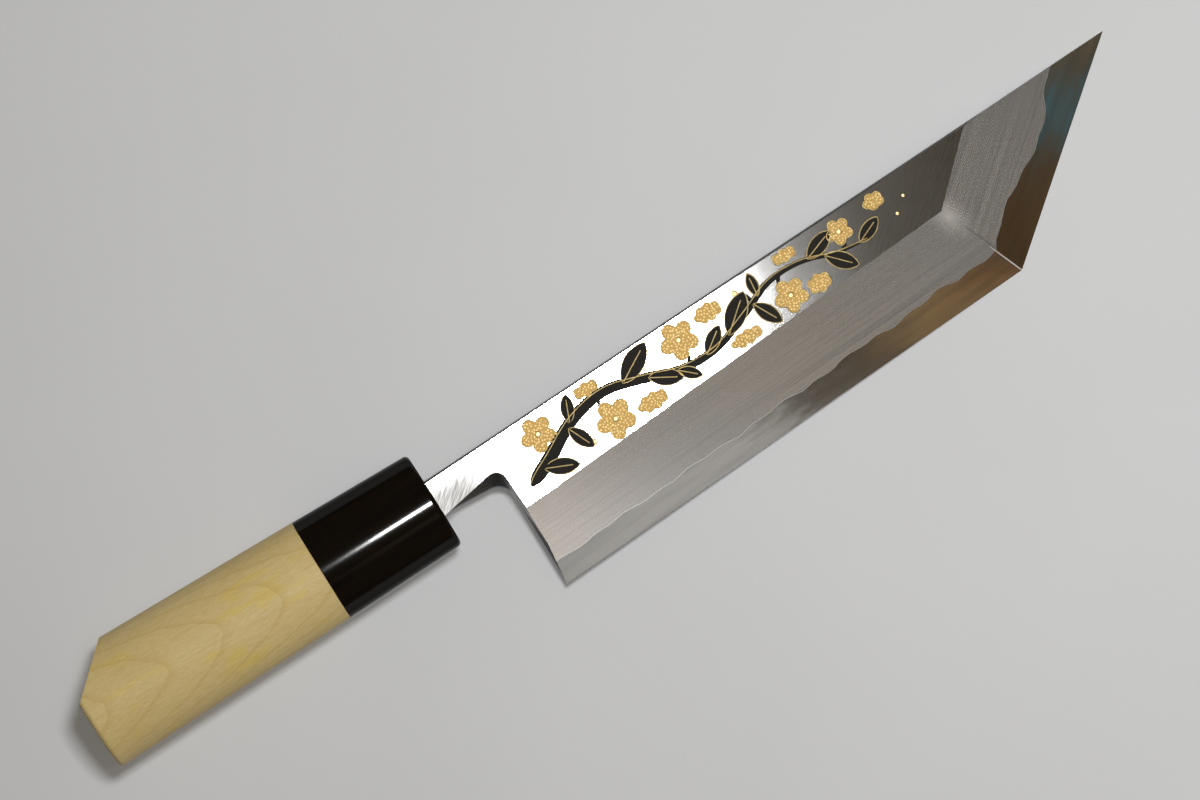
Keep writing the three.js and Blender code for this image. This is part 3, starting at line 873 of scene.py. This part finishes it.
def chain(count, first=0):
    """Edges that join points one after another"""
    return [(first + i, first + i + 1) for i in range(count - 1)]


def plain_mesh(name, points, edges=(), faces=()):
    """A mesh object that is not linked to the scene"""
    mesh = bpy.data.meshes.new(name)
    mesh.from_pydata([tuple(point) for point in points], edges, faces)
    mesh.update()
    return bpy.data.objects.new(name, mesh)


def store(holder, name, values):
    """Keeps a number on each point of a mesh"""
    holder.data.attributes.new(name, "FLOAT", "POINT").data.foreach_set("value", values)
    return holder


def leaf_half_width(share):
    """Half the width of a leaf one unit long and wide, at a share of its length"""
    widest = LEAF_FOOT / (LEAF_FOOT + LEAF_TIP)
    crown = widest ** LEAF_FOOT * (1 - widest) ** LEAF_TIP
    return 0.5 * share ** LEAF_FOOT * (1 - share) ** LEAF_TIP / crown


def leaf_body(ornament):
    """One leaf with a crowned middle, lying along X from the origin"""
    length, width, relief = ornament.leaf_length, ornament.leaf_width, ornament.leaf_relief
    points, faces = [], []
    for row in range(LEAF_ROWS + 1):
        share = row / LEAF_ROWS
        half = max(leaf_half_width(share), LEAF_LEAST) * width
        points += [(share * length, y * half, z * relief) for y, z in LEAF_SECTION]
    for row in range(LEAF_ROWS):
        for side in range(4):
            a = row * 5 + side
            faces.append((a, a + 5, a + 6, a + 1))
    rows = range(0, LEAF_ROWS * 5 + 1, 5)
    faces.append((0, 1, 2, 3, 4))
    faces.append(tuple(rows[-1] + i for i in (4, 3, 2, 1, 0)))
    faces.append([row for row in reversed(rows)] + [row + 4 for row in rows])
    return plain_mesh("leaf_body", points, (), faces)


def leaf_lines(ornament):
    """The outline and the midrib of one leaf, as edges"""
    length, width, relief = ornament.leaf_length, ornament.leaf_width, ornament.leaf_relief
    height = LEAF_SHOULDER * relief
    shares = [row / (2 * LEAF_ROWS) for row in range(2 * LEAF_ROWS + 1)]
    upper = [(s * length, leaf_half_width(s) * width, height) for s in shares]
    lower = [(s * length, -leaf_half_width(s) * width, height) for s in reversed(shares[1:-1])]
    outline = upper + lower
    count = len(outline)
    rib = [(share * length, 0, relief) for share in LEAF_RIB]
    edges = [*chain(count), (count - 1, 0), (count, count + 1)]
    return plain_mesh("leaf_lines", outline + rib, edges)


def dot_dome(ornament):
    """One punched dot: a low dome"""
    radius, relief = ornament.dot_size / 2, ornament.dot_relief
    points, faces = [], []
    for size, height in DOT_RINGS:
        for angle in round_angles(DOT_SIDES):
            points.append(ray(angle) * size * radius + Vector((0, 0, height * relief)))
    top = len(points)
    points.append((0, 0, relief))
    for ring in range(0, top, DOT_SIDES):
        for i in range(DOT_SIDES):
            a, b = ring + i, ring + (i + 1) % DOT_SIDES
            last = ring + DOT_SIDES == top
            faces.append((a, b, top) if last else (a, b, b + DOT_SIDES, a + DOT_SIDES))
    faces.append(tuple(reversed(range(DOT_SIDES))))
    return plain_mesh("dot_dome", points, (), faces)


def line_height(line, x):
    """Y of a line of the flat at an X place"""
    start, end = line
    return start.y + (end.y - start.y) * (x - start.x) / (end.x - start.x)


def on_flat(x, share):
    """A place on the flat, in its own plane: X in millimetres and a share of half its width"""
    high, low = line_height(SPINE_LINE, x * MM), line_height(RIDGE_LINE, x * MM)
    return Vector((x * MM, (high + low) / 2 + share * (high - low) / 2, 0))


def blossom_outline(ornament, x, share, size):
    """Points round a blossom of round petals"""
    points = []
    for angle in round_angles(PETALS * PETAL_STEPS):
        petal = 1 - PETAL_NOTCH * (1 - abs(math.sin(PETALS * angle / 2)))
        points.append(on_flat(x, share) + petal * size * ornament.blossom_size / 2 * ray(angle))
    return points


def cloud_outline(x, share, length, depth):
    """Points round a small cloud: an oval with even scallops"""
    oval = [Vector((length, depth, 0)) * ray(angle) for angle in round_angles(CLOUD_STEPS)]
    walked = [0.0]
    for spot, after in zip(oval, oval[1:] + oval[:1]):
        walked.append(walked[-1] + (after - spot).length)
    scallops = round(walked[-1] / CLOUD_SCALLOP)
    points = []
    for spot, way in zip(oval, walked):
        outward = Vector((spot.x / length ** 2, spot.y / depth ** 2, 0)).normalized()
        puff = CLOUD_PUFF * abs(math.sin(math.pi * scallops * way / walked[-1]))
        points.append(on_flat(x, share) + (spot + outward * puff) * MM)
    return points


def gold_outlines(ornament, lift):
    """The outlines of all blossoms and of all clouds, at a height over the flat"""
    outlines = [blossom_outline(ornament, *blossom) for blossom in BLOSSOMS]
    outlines += [cloud_outline(*cloud) for cloud in CLOUDS]
    return [[point + Vector((0, 0, lift)) for point in outline] for outline in outlines]


def gold_grounds(ornament, lift):
    """The flat grounds of all blossoms and clouds as one mesh, at a height over the flat"""
    points, faces = [], []
    for outline in gold_outlines(ornament, lift):
        faces.append(tuple(range(len(points), len(points) + len(outline))))
        points.extend(outline)
    return plain_mesh("gold_grounds", points, (), faces)


def leaf_size(ornament, foot, angle, size):
    """The size of a leaf, or the largest that stays on the flat"""
    tip = foot + size * ornament.leaf_length * ray(angle)
    line = SPINE_LINE if tip.y > foot.y else RIDGE_LINE
    room = abs(line_height(line, tip.x) - foot.y) - LEAF_MARGIN
    return size * min(1, room / max(abs(tip.y - foot.y), LEAF_MARGIN))


def leaf_places(ornament):
    """A vertex at the foot of each leaf, with the leaf's turn and size as attributes"""
    feet, turns, sizes = [], [], []
    for x, share, turn, size in LEAVES:
        feet.append(on_flat(x, share))
        turns.append(math.radians(turn))
        sizes.append(leaf_size(ornament, feet[-1], turns[-1], size))
    return store(store(plain_mesh("leaf_places", feet), "turn", turns), "size", sizes)


def branch_run(ornament):
    """Points along the branch with its width there as Z, smooth through the knots"""
    knots = []
    for x, share, width in BRANCH_KNOTS:
        knots.append(on_flat(x, share) + Vector((0, 0, width * ornament.branch_width)))
    run = []
    for i in range(len(knots) - 1):
        before, start = knots[max(i - 1, 0)], knots[i]
        end, after = knots[i + 1], knots[min(i + 2, len(knots) - 1)]
        run += interpolate_bezier(
            start, start + (end - before) / 6, end - (after - start) / 6, end, BRANCH_STEPS + 1)[:-1]
    return run + knots[-1:]


def branch_line(ornament):
    """The branch and the stems of its blossoms and buds, as edges with their width as an attribute"""
    run = branch_run(ornament)
    lines = [run]
    width = Vector((0, 0, STEM_WIDTH * ornament.branch_width))
    for x, share, size in BLOSSOMS + BUDS:
        end = on_flat(x, share)
        start = min(run, key=lambda point: (point.to_2d() - end.to_2d()).length)
        reach = end - start
        edge = (end - reach.normalized() * size * ornament.blossom_size * STEM_STOP).to_2d().to_3d()
        foot = start.to_2d().to_3d()
        middle = (foot + edge) / 2 + Vector((reach.y, -reach.x, 0)) * STEM_BOW
        lines.append([foot + STEM_FLARE * width, middle + width, edge + width])
    points, edges = [], []
    for line in lines:
        edges += chain(len(line), len(points))
        points += line
    holder = plain_mesh("branch_path", [point.to_2d().to_3d() for point in points], edges)
    return store(holder, "width", [point.z for point in points])


def gold_rims(ornament):
    """The outlines of blossoms and clouds, and a line along the upper side of the branch, as edges"""
    points, edges = [], []
    for outline in gold_outlines(ornament, GROUND_LIFT):
        first, last = len(points), len(points) + len(outline) - 1
        edges += [*chain(len(outline), first), (last, first)]
        points += outline
    run = branch_run(ornament)
    edges += chain(len(run) - 1, len(points))
    for spot, after in zip(run, run[1:]):
        ahead = (after - spot).to_2d().normalized()
        offset = Vector((-ahead.y, ahead.x, 0)) * spot.z * LIGHT_OFFSET
        points.append(Vector((spot.x, spot.y, spot.z * BRANCH_FLATTEN * LIGHT_HEIGHT)) + offset)
    return plain_mesh("gold_rims", points, edges)


class Growth(Nodes):
    """A Geometry Nodes tree that is given geometry, a material and inputs of its own"""

    def __init__(self, name, **inputs):
        tree = bpy.data.node_groups.new(name, "GeometryNodeTree")
        super().__init__(tree)
        for label, kind in {"Geometry": "Geometry", **inputs, "Material": "Material"}.items():
            tree.interface.new_socket(label, in_out="INPUT", socket_type="NodeSocket" + kind)
        tree.interface.new_socket("Geometry", in_out="OUTPUT", socket_type="NodeSocketGeometry")
        self.source = tree.nodes.new("NodeGroupInput").outputs
        self.sink = tree.nodes.new("NodeGroupOutput").inputs["Geometry"]

    def shape(self, name):
        """The geometry of an object that the tree is given"""
        return self.add("GeometryNodeObjectInfo", {"Object": self.source[name]}).outputs["Geometry"]

    def number(self, name):
        """A number kept on the points"""
        return self.add("GeometryNodeInputNamedAttribute", {"Name": name}).outputs["Attribute"]

    def real(self, instances):
        """Instances as one mesh"""
        return self.add("GeometryNodeRealizeInstances", {"Geometry": instances}).outputs["Geometry"]

    def copies(self, points, shape, scale, **inputs):
        """A shape on every point"""
        return self.add("GeometryNodeInstanceOnPoints", {
            "Points": points, "Instance": shape, "Scale": scale, **inputs}).outputs["Instances"]

    def leaves(self, shape):
        """A shape on every point of the geometry given, turned and sized as the point says"""
        turn = self.add("ShaderNodeCombineXYZ", {"Z": self.number("turn")})
        rotation = self.add("FunctionNodeEulerToRotation", {"Euler": turn.outputs["Vector"]})
        return self.copies(
            self.source["Geometry"], shape, self.number("size"), Rotation=rotation.outputs["Rotation"])

    def sweep(self, lines, width):
        """Tubes along edges, of one width or of a width that the edges carry"""
        curve = self.add("GeometryNodeMeshToCurve", {"Mesh": lines})
        profile = self.add("GeometryNodeCurvePrimitiveCircle", {
            "Resolution": self.source["Sides"], "Radius": 0.5})
        return self.add("GeometryNodeCurveToMesh", {
            "Curve": curve.outputs["Curve"], "Profile Curve": profile.outputs["Curve"], "Scale": width,
            "Fill Caps": True}).outputs["Mesh"]

    def join(self, *shapes):
        """Several shapes as one"""
        node = self.add("GeometryNodeJoinGeometry")
        for shape in shapes:
            self.put(node.inputs["Geometry"], shape)
        return node.outputs["Geometry"]

    def finish(self, geometry):
        """Ends the tree: instances made real, and the material set"""
        done = self.add("GeometryNodeSetMaterial", {
            "Geometry": self.real(geometry), "Material": self.source["Material"]})
        self.put(self.sink, done.outputs["Geometry"])
        return self.tree


def leaf_tree():
    """Leaves on points, and a flattened branch"""
    tree = Growth("Leafy Branch", Leaf="Object", Branch="Object", Sides="Int")
    leaves = tree.leaves(tree.shape("Leaf"))
    tube = tree.sweep(tree.shape("Branch"), tree.number("width"))
    branch = tree.add("GeometryNodeTransform", {"Geometry": tube, "Scale": (1, 1, BRANCH_FLATTEN)})
    return tree.finish(tree.join(leaves, branch.outputs["Geometry"]))


def line_tree():
    """Outlines of leaves and blossoms, swept to raised lines of one width"""
    tree = Growth("Raised Lines", Lines="Object", Rims="Object", Width="Float", Sides="Int")
    lines = tree.join(tree.real(tree.leaves(tree.shape("Lines"))), tree.shape("Rims"))
    return tree.finish(tree.sweep(lines, tree.source["Width"]))


def dot_tree():
    """Dots scattered over the grounds, large ones at hearts and buds, and loose ones"""
    tree = Growth(
        "Punched Dots", Dot="Object", Hearts="Object", Loose="Object", Spacing="Float", Seed="Int")
    spacing, seed = tree.source["Spacing"], tree.source["Seed"]
    density = tree.math("DIVIDE", DOT_CROWD, tree.math("MULTIPLY", spacing, spacing))
    scattered = tree.add("GeometryNodeDistributePointsOnFaces", {
        "Mesh": tree.source["Geometry"], "Distance Min": spacing, "Seed": seed, "Density Max": density},
        distribute_method="POISSON")
    size = tree.add("FunctionNodeRandomValue", {
        "Min": DOT_LEAST, "Max": DOT_MOST, "Seed": seed}, data_type="FLOAT_VECTOR")
    dot = tree.shape("Dot")
    return tree.finish(tree.join(
        tree.copies(scattered.outputs["Points"], dot, size.outputs["Value"]),
        tree.copies(tree.shape("Hearts"), dot, HEART_SCALE),
        tree.copies(tree.shape("Loose"), dot, LOOSE_SCALE)))


def weld_tree():
    """Tubes along lines of their own width"""
    tree = Growth("Weld Line", Sides="Int")
    return tree.finish(tree.sweep(tree.source["Geometry"], tree.number("width")))


def weld_edges():
    """The lower border of the soft iron on the main bevel, as lines that lie mostly under the surface and
    thin out towards the tip"""
    bm = bmesh.new()
    bm.from_mesh(frame["nodes"]["blade_iron"].data)
    bmesh.ops.remove_doubles(bm, verts=bm.verts, dist=MERGE_DISTANCE)
    points, widths, edges, numbers = [], [], [], {}
    for edge in bm.edges:
        heights = sorted(face.normal.z for face in edge.link_faces)
        on_border = heights[0] < 0 and BEVEL_LIMIT < heights[-1]
        if on_border and max(vertex.co.x for vertex in edge.verts) < WELD_END:
            for vertex in edge.verts:
                if vertex.index not in numbers:
                    numbers[vertex.index] = len(points)
                    width = WELD_WIDTH * (1 - WELD_THINNING * max(vertex.co.x, 0) / WELD_END)
                    points.append(vertex.co - Vector((0, 0, width / 2 - LINE_RISE * width / WELD_WIDTH)))
                    widths.append(width)
            edges.append(tuple(numbers[vertex.index] for vertex in edge.verts))
    bm.free()
    return store(plain_mesh("weld_edges", points, edges), "width", widths)


def mitre_line():
    """The ridge of the mitre where it crosses the hard steel, as a line that thins towards the weld"""
    points, widths = [], []
    for share, width in MITRE_WIDTHS:
        points.append(CORNER.lerp(RIDGE_LINE[1], share) - Vector((0, 0, width / 2 * MM - LINE_RISE)))
        widths.append(width * MM)
    return store(plain_mesh("mitre_line", points, chain(len(points))), "width", widths)


def grown_piece(name, tree, seed, values, smooth_degrees, place):
    """What a tree makes of a seed object, as a plain mesh put in its place"""
    bpy.context.scene.collection.objects.link(seed)
    modifier = seed.modifiers.new(name, "NODES")
    modifier.node_group = tree
    for socket in tree.interface.items_tree:
        if socket.in_out == "INPUT" and socket.name in values:
            modifier[socket.identifier] = values[socket.name]
    depsgraph = bpy.context.evaluated_depsgraph_get()
    mesh = bpy.data.meshes.new_from_object(seed.evaluated_get(depsgraph), depsgraph=depsgraph)
    bpy.data.objects.remove(seed)
    mesh.name = name
    bm = bmesh.new()
    bm.from_mesh(mesh)
    bmesh.ops.transform(bm, matrix=place, verts=bm.verts)
    bmesh.ops.remove_doubles(bm, verts=bm.verts, dist=MERGE_DISTANCE)
    bmesh.ops.recalc_face_normals(bm, faces=bm.faces)
    shade_smooth(bm, smooth_degrees)
    bm.to_mesh(mesh)
    bm.free()
    return new_piece(name, mesh)


class KNIFE_OT_weld_line(bpy.types.Operator):
    """Draw the pale line along the forge weld on the bevels, and the light on the ridge of the mitre"""

    bl_idname = "knife.weld_line"
    bl_label = "Weld Line"

    def execute(self, context):
        tree = weld_tree()
        for name, lines, material in (
                ("weld_line", weld_edges(), weld_line_material()),
                ("mitre_line", mitre_line(), mitre_line_material())):
            values = {"Sides": LINE_SIDES, "Material": material}
            settle(grown_piece(name, tree, lines, values, LINE_SMOOTH, Matrix()), "hard_steel")
        return {"FINISHED"}


class KNIFE_OT_branch(bpy.types.Operator):
    """Lay a black branch and its leaves on the flat"""

    bl_idname = "knife.branch"
    bl_label = "Black Branch"

    def execute(self, context):
        ornament = context.scene.knife_ornament
        values = {"Leaf": leaf_body(ornament), "Branch": branch_line(ornament),
                  "Sides": BRANCH_SIDES, "Material": black_material(ornament)}
        places = leaf_places(ornament)
        settle(grown_piece("branch", leaf_tree(), places, values, BRANCH_SMOOTH, FACE_FRAME), "black_inlay")
        return {"FINISHED"}


class KNIFE_OT_gold_lines(bpy.types.Operator):
    """Draw the gold outlines of leaves and blossoms, the ribs of the leaves and the light on the branch"""

    bl_idname = "knife.gold_lines"
    bl_label = "Gold Lines"

    def execute(self, context):
        ornament = context.scene.knife_ornament
        values = {"Lines": leaf_lines(ornament), "Rims": gold_rims(ornament), "Width": ornament.rim_width,
                  "Sides": RIM_SIDES, "Material": gold_material(ornament)}
        places = leaf_places(ornament)
        settle(grown_piece("gold_lines", line_tree(), places, values, LINE_SMOOTH, FACE_FRAME), "gold_inlay")
        return {"FINISHED"}


class KNIFE_OT_gold_grounds(bpy.types.Operator):
    """Lay the ground that the blossoms and the clouds are punched in, darkened with painted shade"""

    bl_idname = "knife.gold_grounds"
    bl_label = "Gold Grounds"

    def execute(self, context):
        ornament = context.scene.knife_ornament
        flat = gold_grounds(ornament, 0)
        bm = bmesh.new()
        bm.from_mesh(flat.data)
        raised = bmesh.ops.extrude_face_region(bm, geom=bm.faces[:])["geom"]
        top = [item for item in raised if isinstance(item, bmesh.types.BMVert)]
        bmesh.ops.translate(bm, verts=top, vec=(0, 0, GROUND_LIFT))
        bmesh.ops.transform(bm, matrix=FACE_FRAME, verts=bm.verts)
        bmesh.ops.recalc_face_normals(bm, faces=bm.faces)
        mesh = bpy.data.meshes.new("gold_grounds")
        bm.to_mesh(mesh)
        bm.free()
        bpy.data.objects.remove(flat)
        mesh.materials.append(ground_material(ornament))
        settle(new_piece("gold_grounds", mesh), "gold_inlay")
        return {"FINISHED"}


class KNIFE_OT_dots(bpy.types.Operator):
    """Punch the gold dots of the blossoms and the clouds"""

    bl_idname = "knife.dots"
    bl_label = "Gold Dots"

    def execute(self, context):
        ornament = context.scene.knife_ornament
        hearts = [on_flat(x, share) + Vector((0, 0, GROUND_LIFT)) for x, share, size in BLOSSOMS + BUDS]
        loose = [Vector((x, y, 0)) * MM for x, y in LOOSE_DOTS]
        values = {"Dot": dot_dome(ornament), "Hearts": plain_mesh("hearts", hearts),
                  "Loose": plain_mesh("loose_dots", loose), "Spacing": ornament.dot_spacing,
                  "Seed": ornament.seed, "Material": bpy.data.materials["gold_leaf"]}
        grounds = gold_grounds(ornament, GROUND_LIFT)
        settle(grown_piece("dots", dot_tree(), grounds, values, DOT_SMOOTH, FACE_FRAME), "gold_inlay")
        return {"FINISHED"}


# Stage

def resting_plane():
    """The surface the knife lies on: it touches the tip's edge and the underside of the handle"""
    along = (CORNER - POINT).to_2d().normalized()
    inward = Vector((along.y, -along.x))
    if inward.x > 0:
        inward.negate()

    def slope(co):
        return (POINT.z - co.z) / (co - POINT).to_2d().dot(inward)

    handle = [v.co for name in ("horn_ferrule", "handle_grip") for v in frame["nodes"][name].data.vertices]
    normal = (CORNER - POINT).cross(max(handle, key=slope) - POINT).normalized()
    if normal.z < 0:
        normal.negate()
    return Vector((POINT.x, POINT.y, 0)), normal


class KNIFE_OT_stage(bpy.types.Operator):
    """Lay out the floor, the lamps and the camera"""

    bl_idname = "knife.stage"
    bl_label = "Stage"

    AIM = Vector((30.27 * MM, -0.75 * MM, 2.6 * MM))
    FLOOR_SIZE = 6.0
    SENSOR_WIDTH = 36

    # Place and size of each lamp, from the aim, along the knife, across it and away from the floor
    LAMPS = {
        "key": ((0.0724, -0.056, 0.8), (0.115, 0.063)),
        "top": ((0.115, 0.11, 0.8), (0.14, 0.12)),
        "side": ((0.35, -0.2, 0.5), (0.3, 0.3)),
        "fill": ((0.152, -0.852, 0.95), (0.204, 0.32)),
    }

    # Direction of each coloured patch of the room, cosines of its rim and of its core, and colour
    ROOM_COLOUR = (0.08, 0.066, 0.045, 1)
    ROOM_PATCHES = (
        ((0.12, -0.44, 0.89), 0.994, 0.998, (0.25, 0.205, 0.145, 1)),
        ((0.105, -0.46, 0.882), 0.9997, 0.99996, (0.85, 0.56, 0.27, 1)),
        ((0.116, -0.441, 0.89), 0.9999, 0.99998, (0.62, 0.27, 0.09, 1)),
        ((0.34, -0.31, 0.887), 0.996, 0.999, (0.26, 0.16, 0.08, 1)),
        ((0.3362, -0.3008, 0.8926), 0.9999, 0.99998, (0.12, 0.53, 0.68, 1)),
        ((0.33, -0.268, 0.905), 0.9998, 0.99995, (0.43, 0.38, 0.26, 1)),
    )

    def execute(self, context):
        stage = context.scene.knife_stage
        base, normal = resting_plane()
        ahead = (Vector((1, 0, 0)) - normal * normal.x).normalized()
        aside = normal.cross(ahead)
        self.make_floor(context, stage, base, normal)
        self.make_lamps(context, stage, normal, ahead, aside)
        self.make_room(context, stage)
        self.make_camera(context, stage, normal, ahead, aside)
        return {"FINISHED"}

    def make_floor(self, context, stage, base, normal):
        bpy.ops.mesh.primitive_plane_add(size=self.FLOOR_SIZE)
        floor = context.active_object
        floor.name = "floor"
        floor.matrix_world = Matrix.Translation(base) @ normal.to_track_quat("Z", "Y").to_matrix().to_4x4()
        floor.data.materials.append(floor_material(stage))

    def make_lamps(self, context, stage, normal, ahead, aside):
        turned = Matrix((ahead, aside, normal)).transposed()
        lamps = {}
        for name, (place, size) in self.LAMPS.items():
            light = bpy.data.lights.new(name, "AREA")
            light.energy = getattr(stage, name + "_power")
            light.shape = "RECTANGLE"
            light.size, light.size_y = size
            towards = turned @ Vector(place)
            back = towards.normalized()
            across = (ahead - back * ahead.dot(back)).normalized()
            facing = Matrix((across, back.cross(across), back)).transposed().to_4x4()
            lamps[name] = new_piece(name, light)
            lamps[name].matrix_world = Matrix.Translation(self.AIM + towards) @ facing
        lamps["key"].visible_diffuse = False
        lamps["top"].visible_glossy = False
        lamps["side"].visible_glossy = False
        lamps["side"].data.use_shadow = False
        blade = bpy.data.collections.new("blade_alone")
        for name in ("blade_body", "blade_edge"):
            blade.objects.link(bpy.data.objects[name])
        lamps["fill"].light_linking.receiver_collection = blade

    def make_room(self, context, stage):
        world = bpy.data.worlds.new("room")
        context.scene.world = world
        world.use_nodes = True
        room = Nodes(world.node_tree)
        direction = room.add("ShaderNodeTexCoord").outputs["Generated"]
        colour = self.ROOM_COLOUR
        for towards, rim_highlight, core, patch in self.ROOM_PATCHES:
            near = room.add("ShaderNodeVectorMath", {
                0: direction, 1: Vector(towards).normalized()}, operation="DOT_PRODUCT")
            colour = room.mix(room.range(near.outputs["Value"], rim_highlight, core), colour, patch)
        background = room.tree.nodes["Background"].inputs
        room.put(background["Color"], colour)
        room.put(background["Strength"], stage.room_strength)

    def make_camera(self, context, stage, normal, ahead, aside):
        lens = bpy.data.cameras.new("camera")
        lens.sensor_fit = "HORIZONTAL"
        lens.sensor_width = self.SENSOR_WIDTH
        lens.lens = stage.camera_lens
        turn = stage.camera_turn
        right = ahead * math.cos(turn) - aside * math.sin(turn)
        up = ahead * math.sin(turn) + aside * math.cos(turn)
        turned = Matrix((right, up, normal)).transposed().to_4x4()
        camera = new_piece("camera", lens)
        camera.matrix_world = Matrix.Translation(self.AIM + normal * stage.camera_height) @ turned
        context.scene.camera = camera
        context.scene.view_settings.view_transform = "Standard"


class KNIFE_PT_panel(bpy.types.Panel):
    """The knife's settings and pieces"""

    bl_label = "Knife"
    bl_space_type = "VIEW_3D"
    bl_region_type = "UI"
    bl_category = "Knife"

    def draw(self, context):
        for operator in OPERATORS:
            self.layout.operator(operator.bl_idname)
        for group in SETTINGS:
            settings = getattr(context.scene, group)
            box = self.layout.box()
            for name in settings.__annotations__:
                box.prop(settings, name)


OPERATORS = (
    KNIFE_OT_blade_body,
    KNIFE_OT_blade_edge,
    KNIFE_OT_ferrule,
    KNIFE_OT_grip,
    KNIFE_OT_weld_line,
    KNIFE_OT_branch,
    KNIFE_OT_gold_lines,
    KNIFE_OT_gold_grounds,
    KNIFE_OT_dots,
    KNIFE_OT_stage,
)
SETTINGS = {
    "knife_finish": KnifeFinishSettings,
    "knife_ornament": KnifeOrnamentSettings,
    "knife_stage": KnifeStageSettings,
}


def register():
    for kind in (*SETTINGS.values(), *OPERATORS, KNIFE_PT_panel):
        bpy.utils.register_class(kind)
    for name, kind in SETTINGS.items():
        setattr(bpy.types.Scene, name, PointerProperty(type=kind))


def unregister():
    for name in SETTINGS:
        delattr(bpy.types.Scene, name)
    for kind in (KNIFE_PT_panel, *reversed(OPERATORS), *reversed(SETTINGS.values())):
        bpy.utils.unregister_class(kind)


def main():
    register()
    bpy.ops.knife.blade_body()
    bpy.ops.knife.blade_edge()
    bpy.ops.knife.ferrule()
    bpy.ops.knife.grip()
    bpy.ops.knife.weld_line()
    bpy.ops.knife.branch()
    bpy.ops.knife.gold_lines()
    bpy.ops.knife.gold_grounds()
    bpy.ops.knife.dots()
    bpy.ops.knife.stage()


if __name__ == "__main__":
    main()
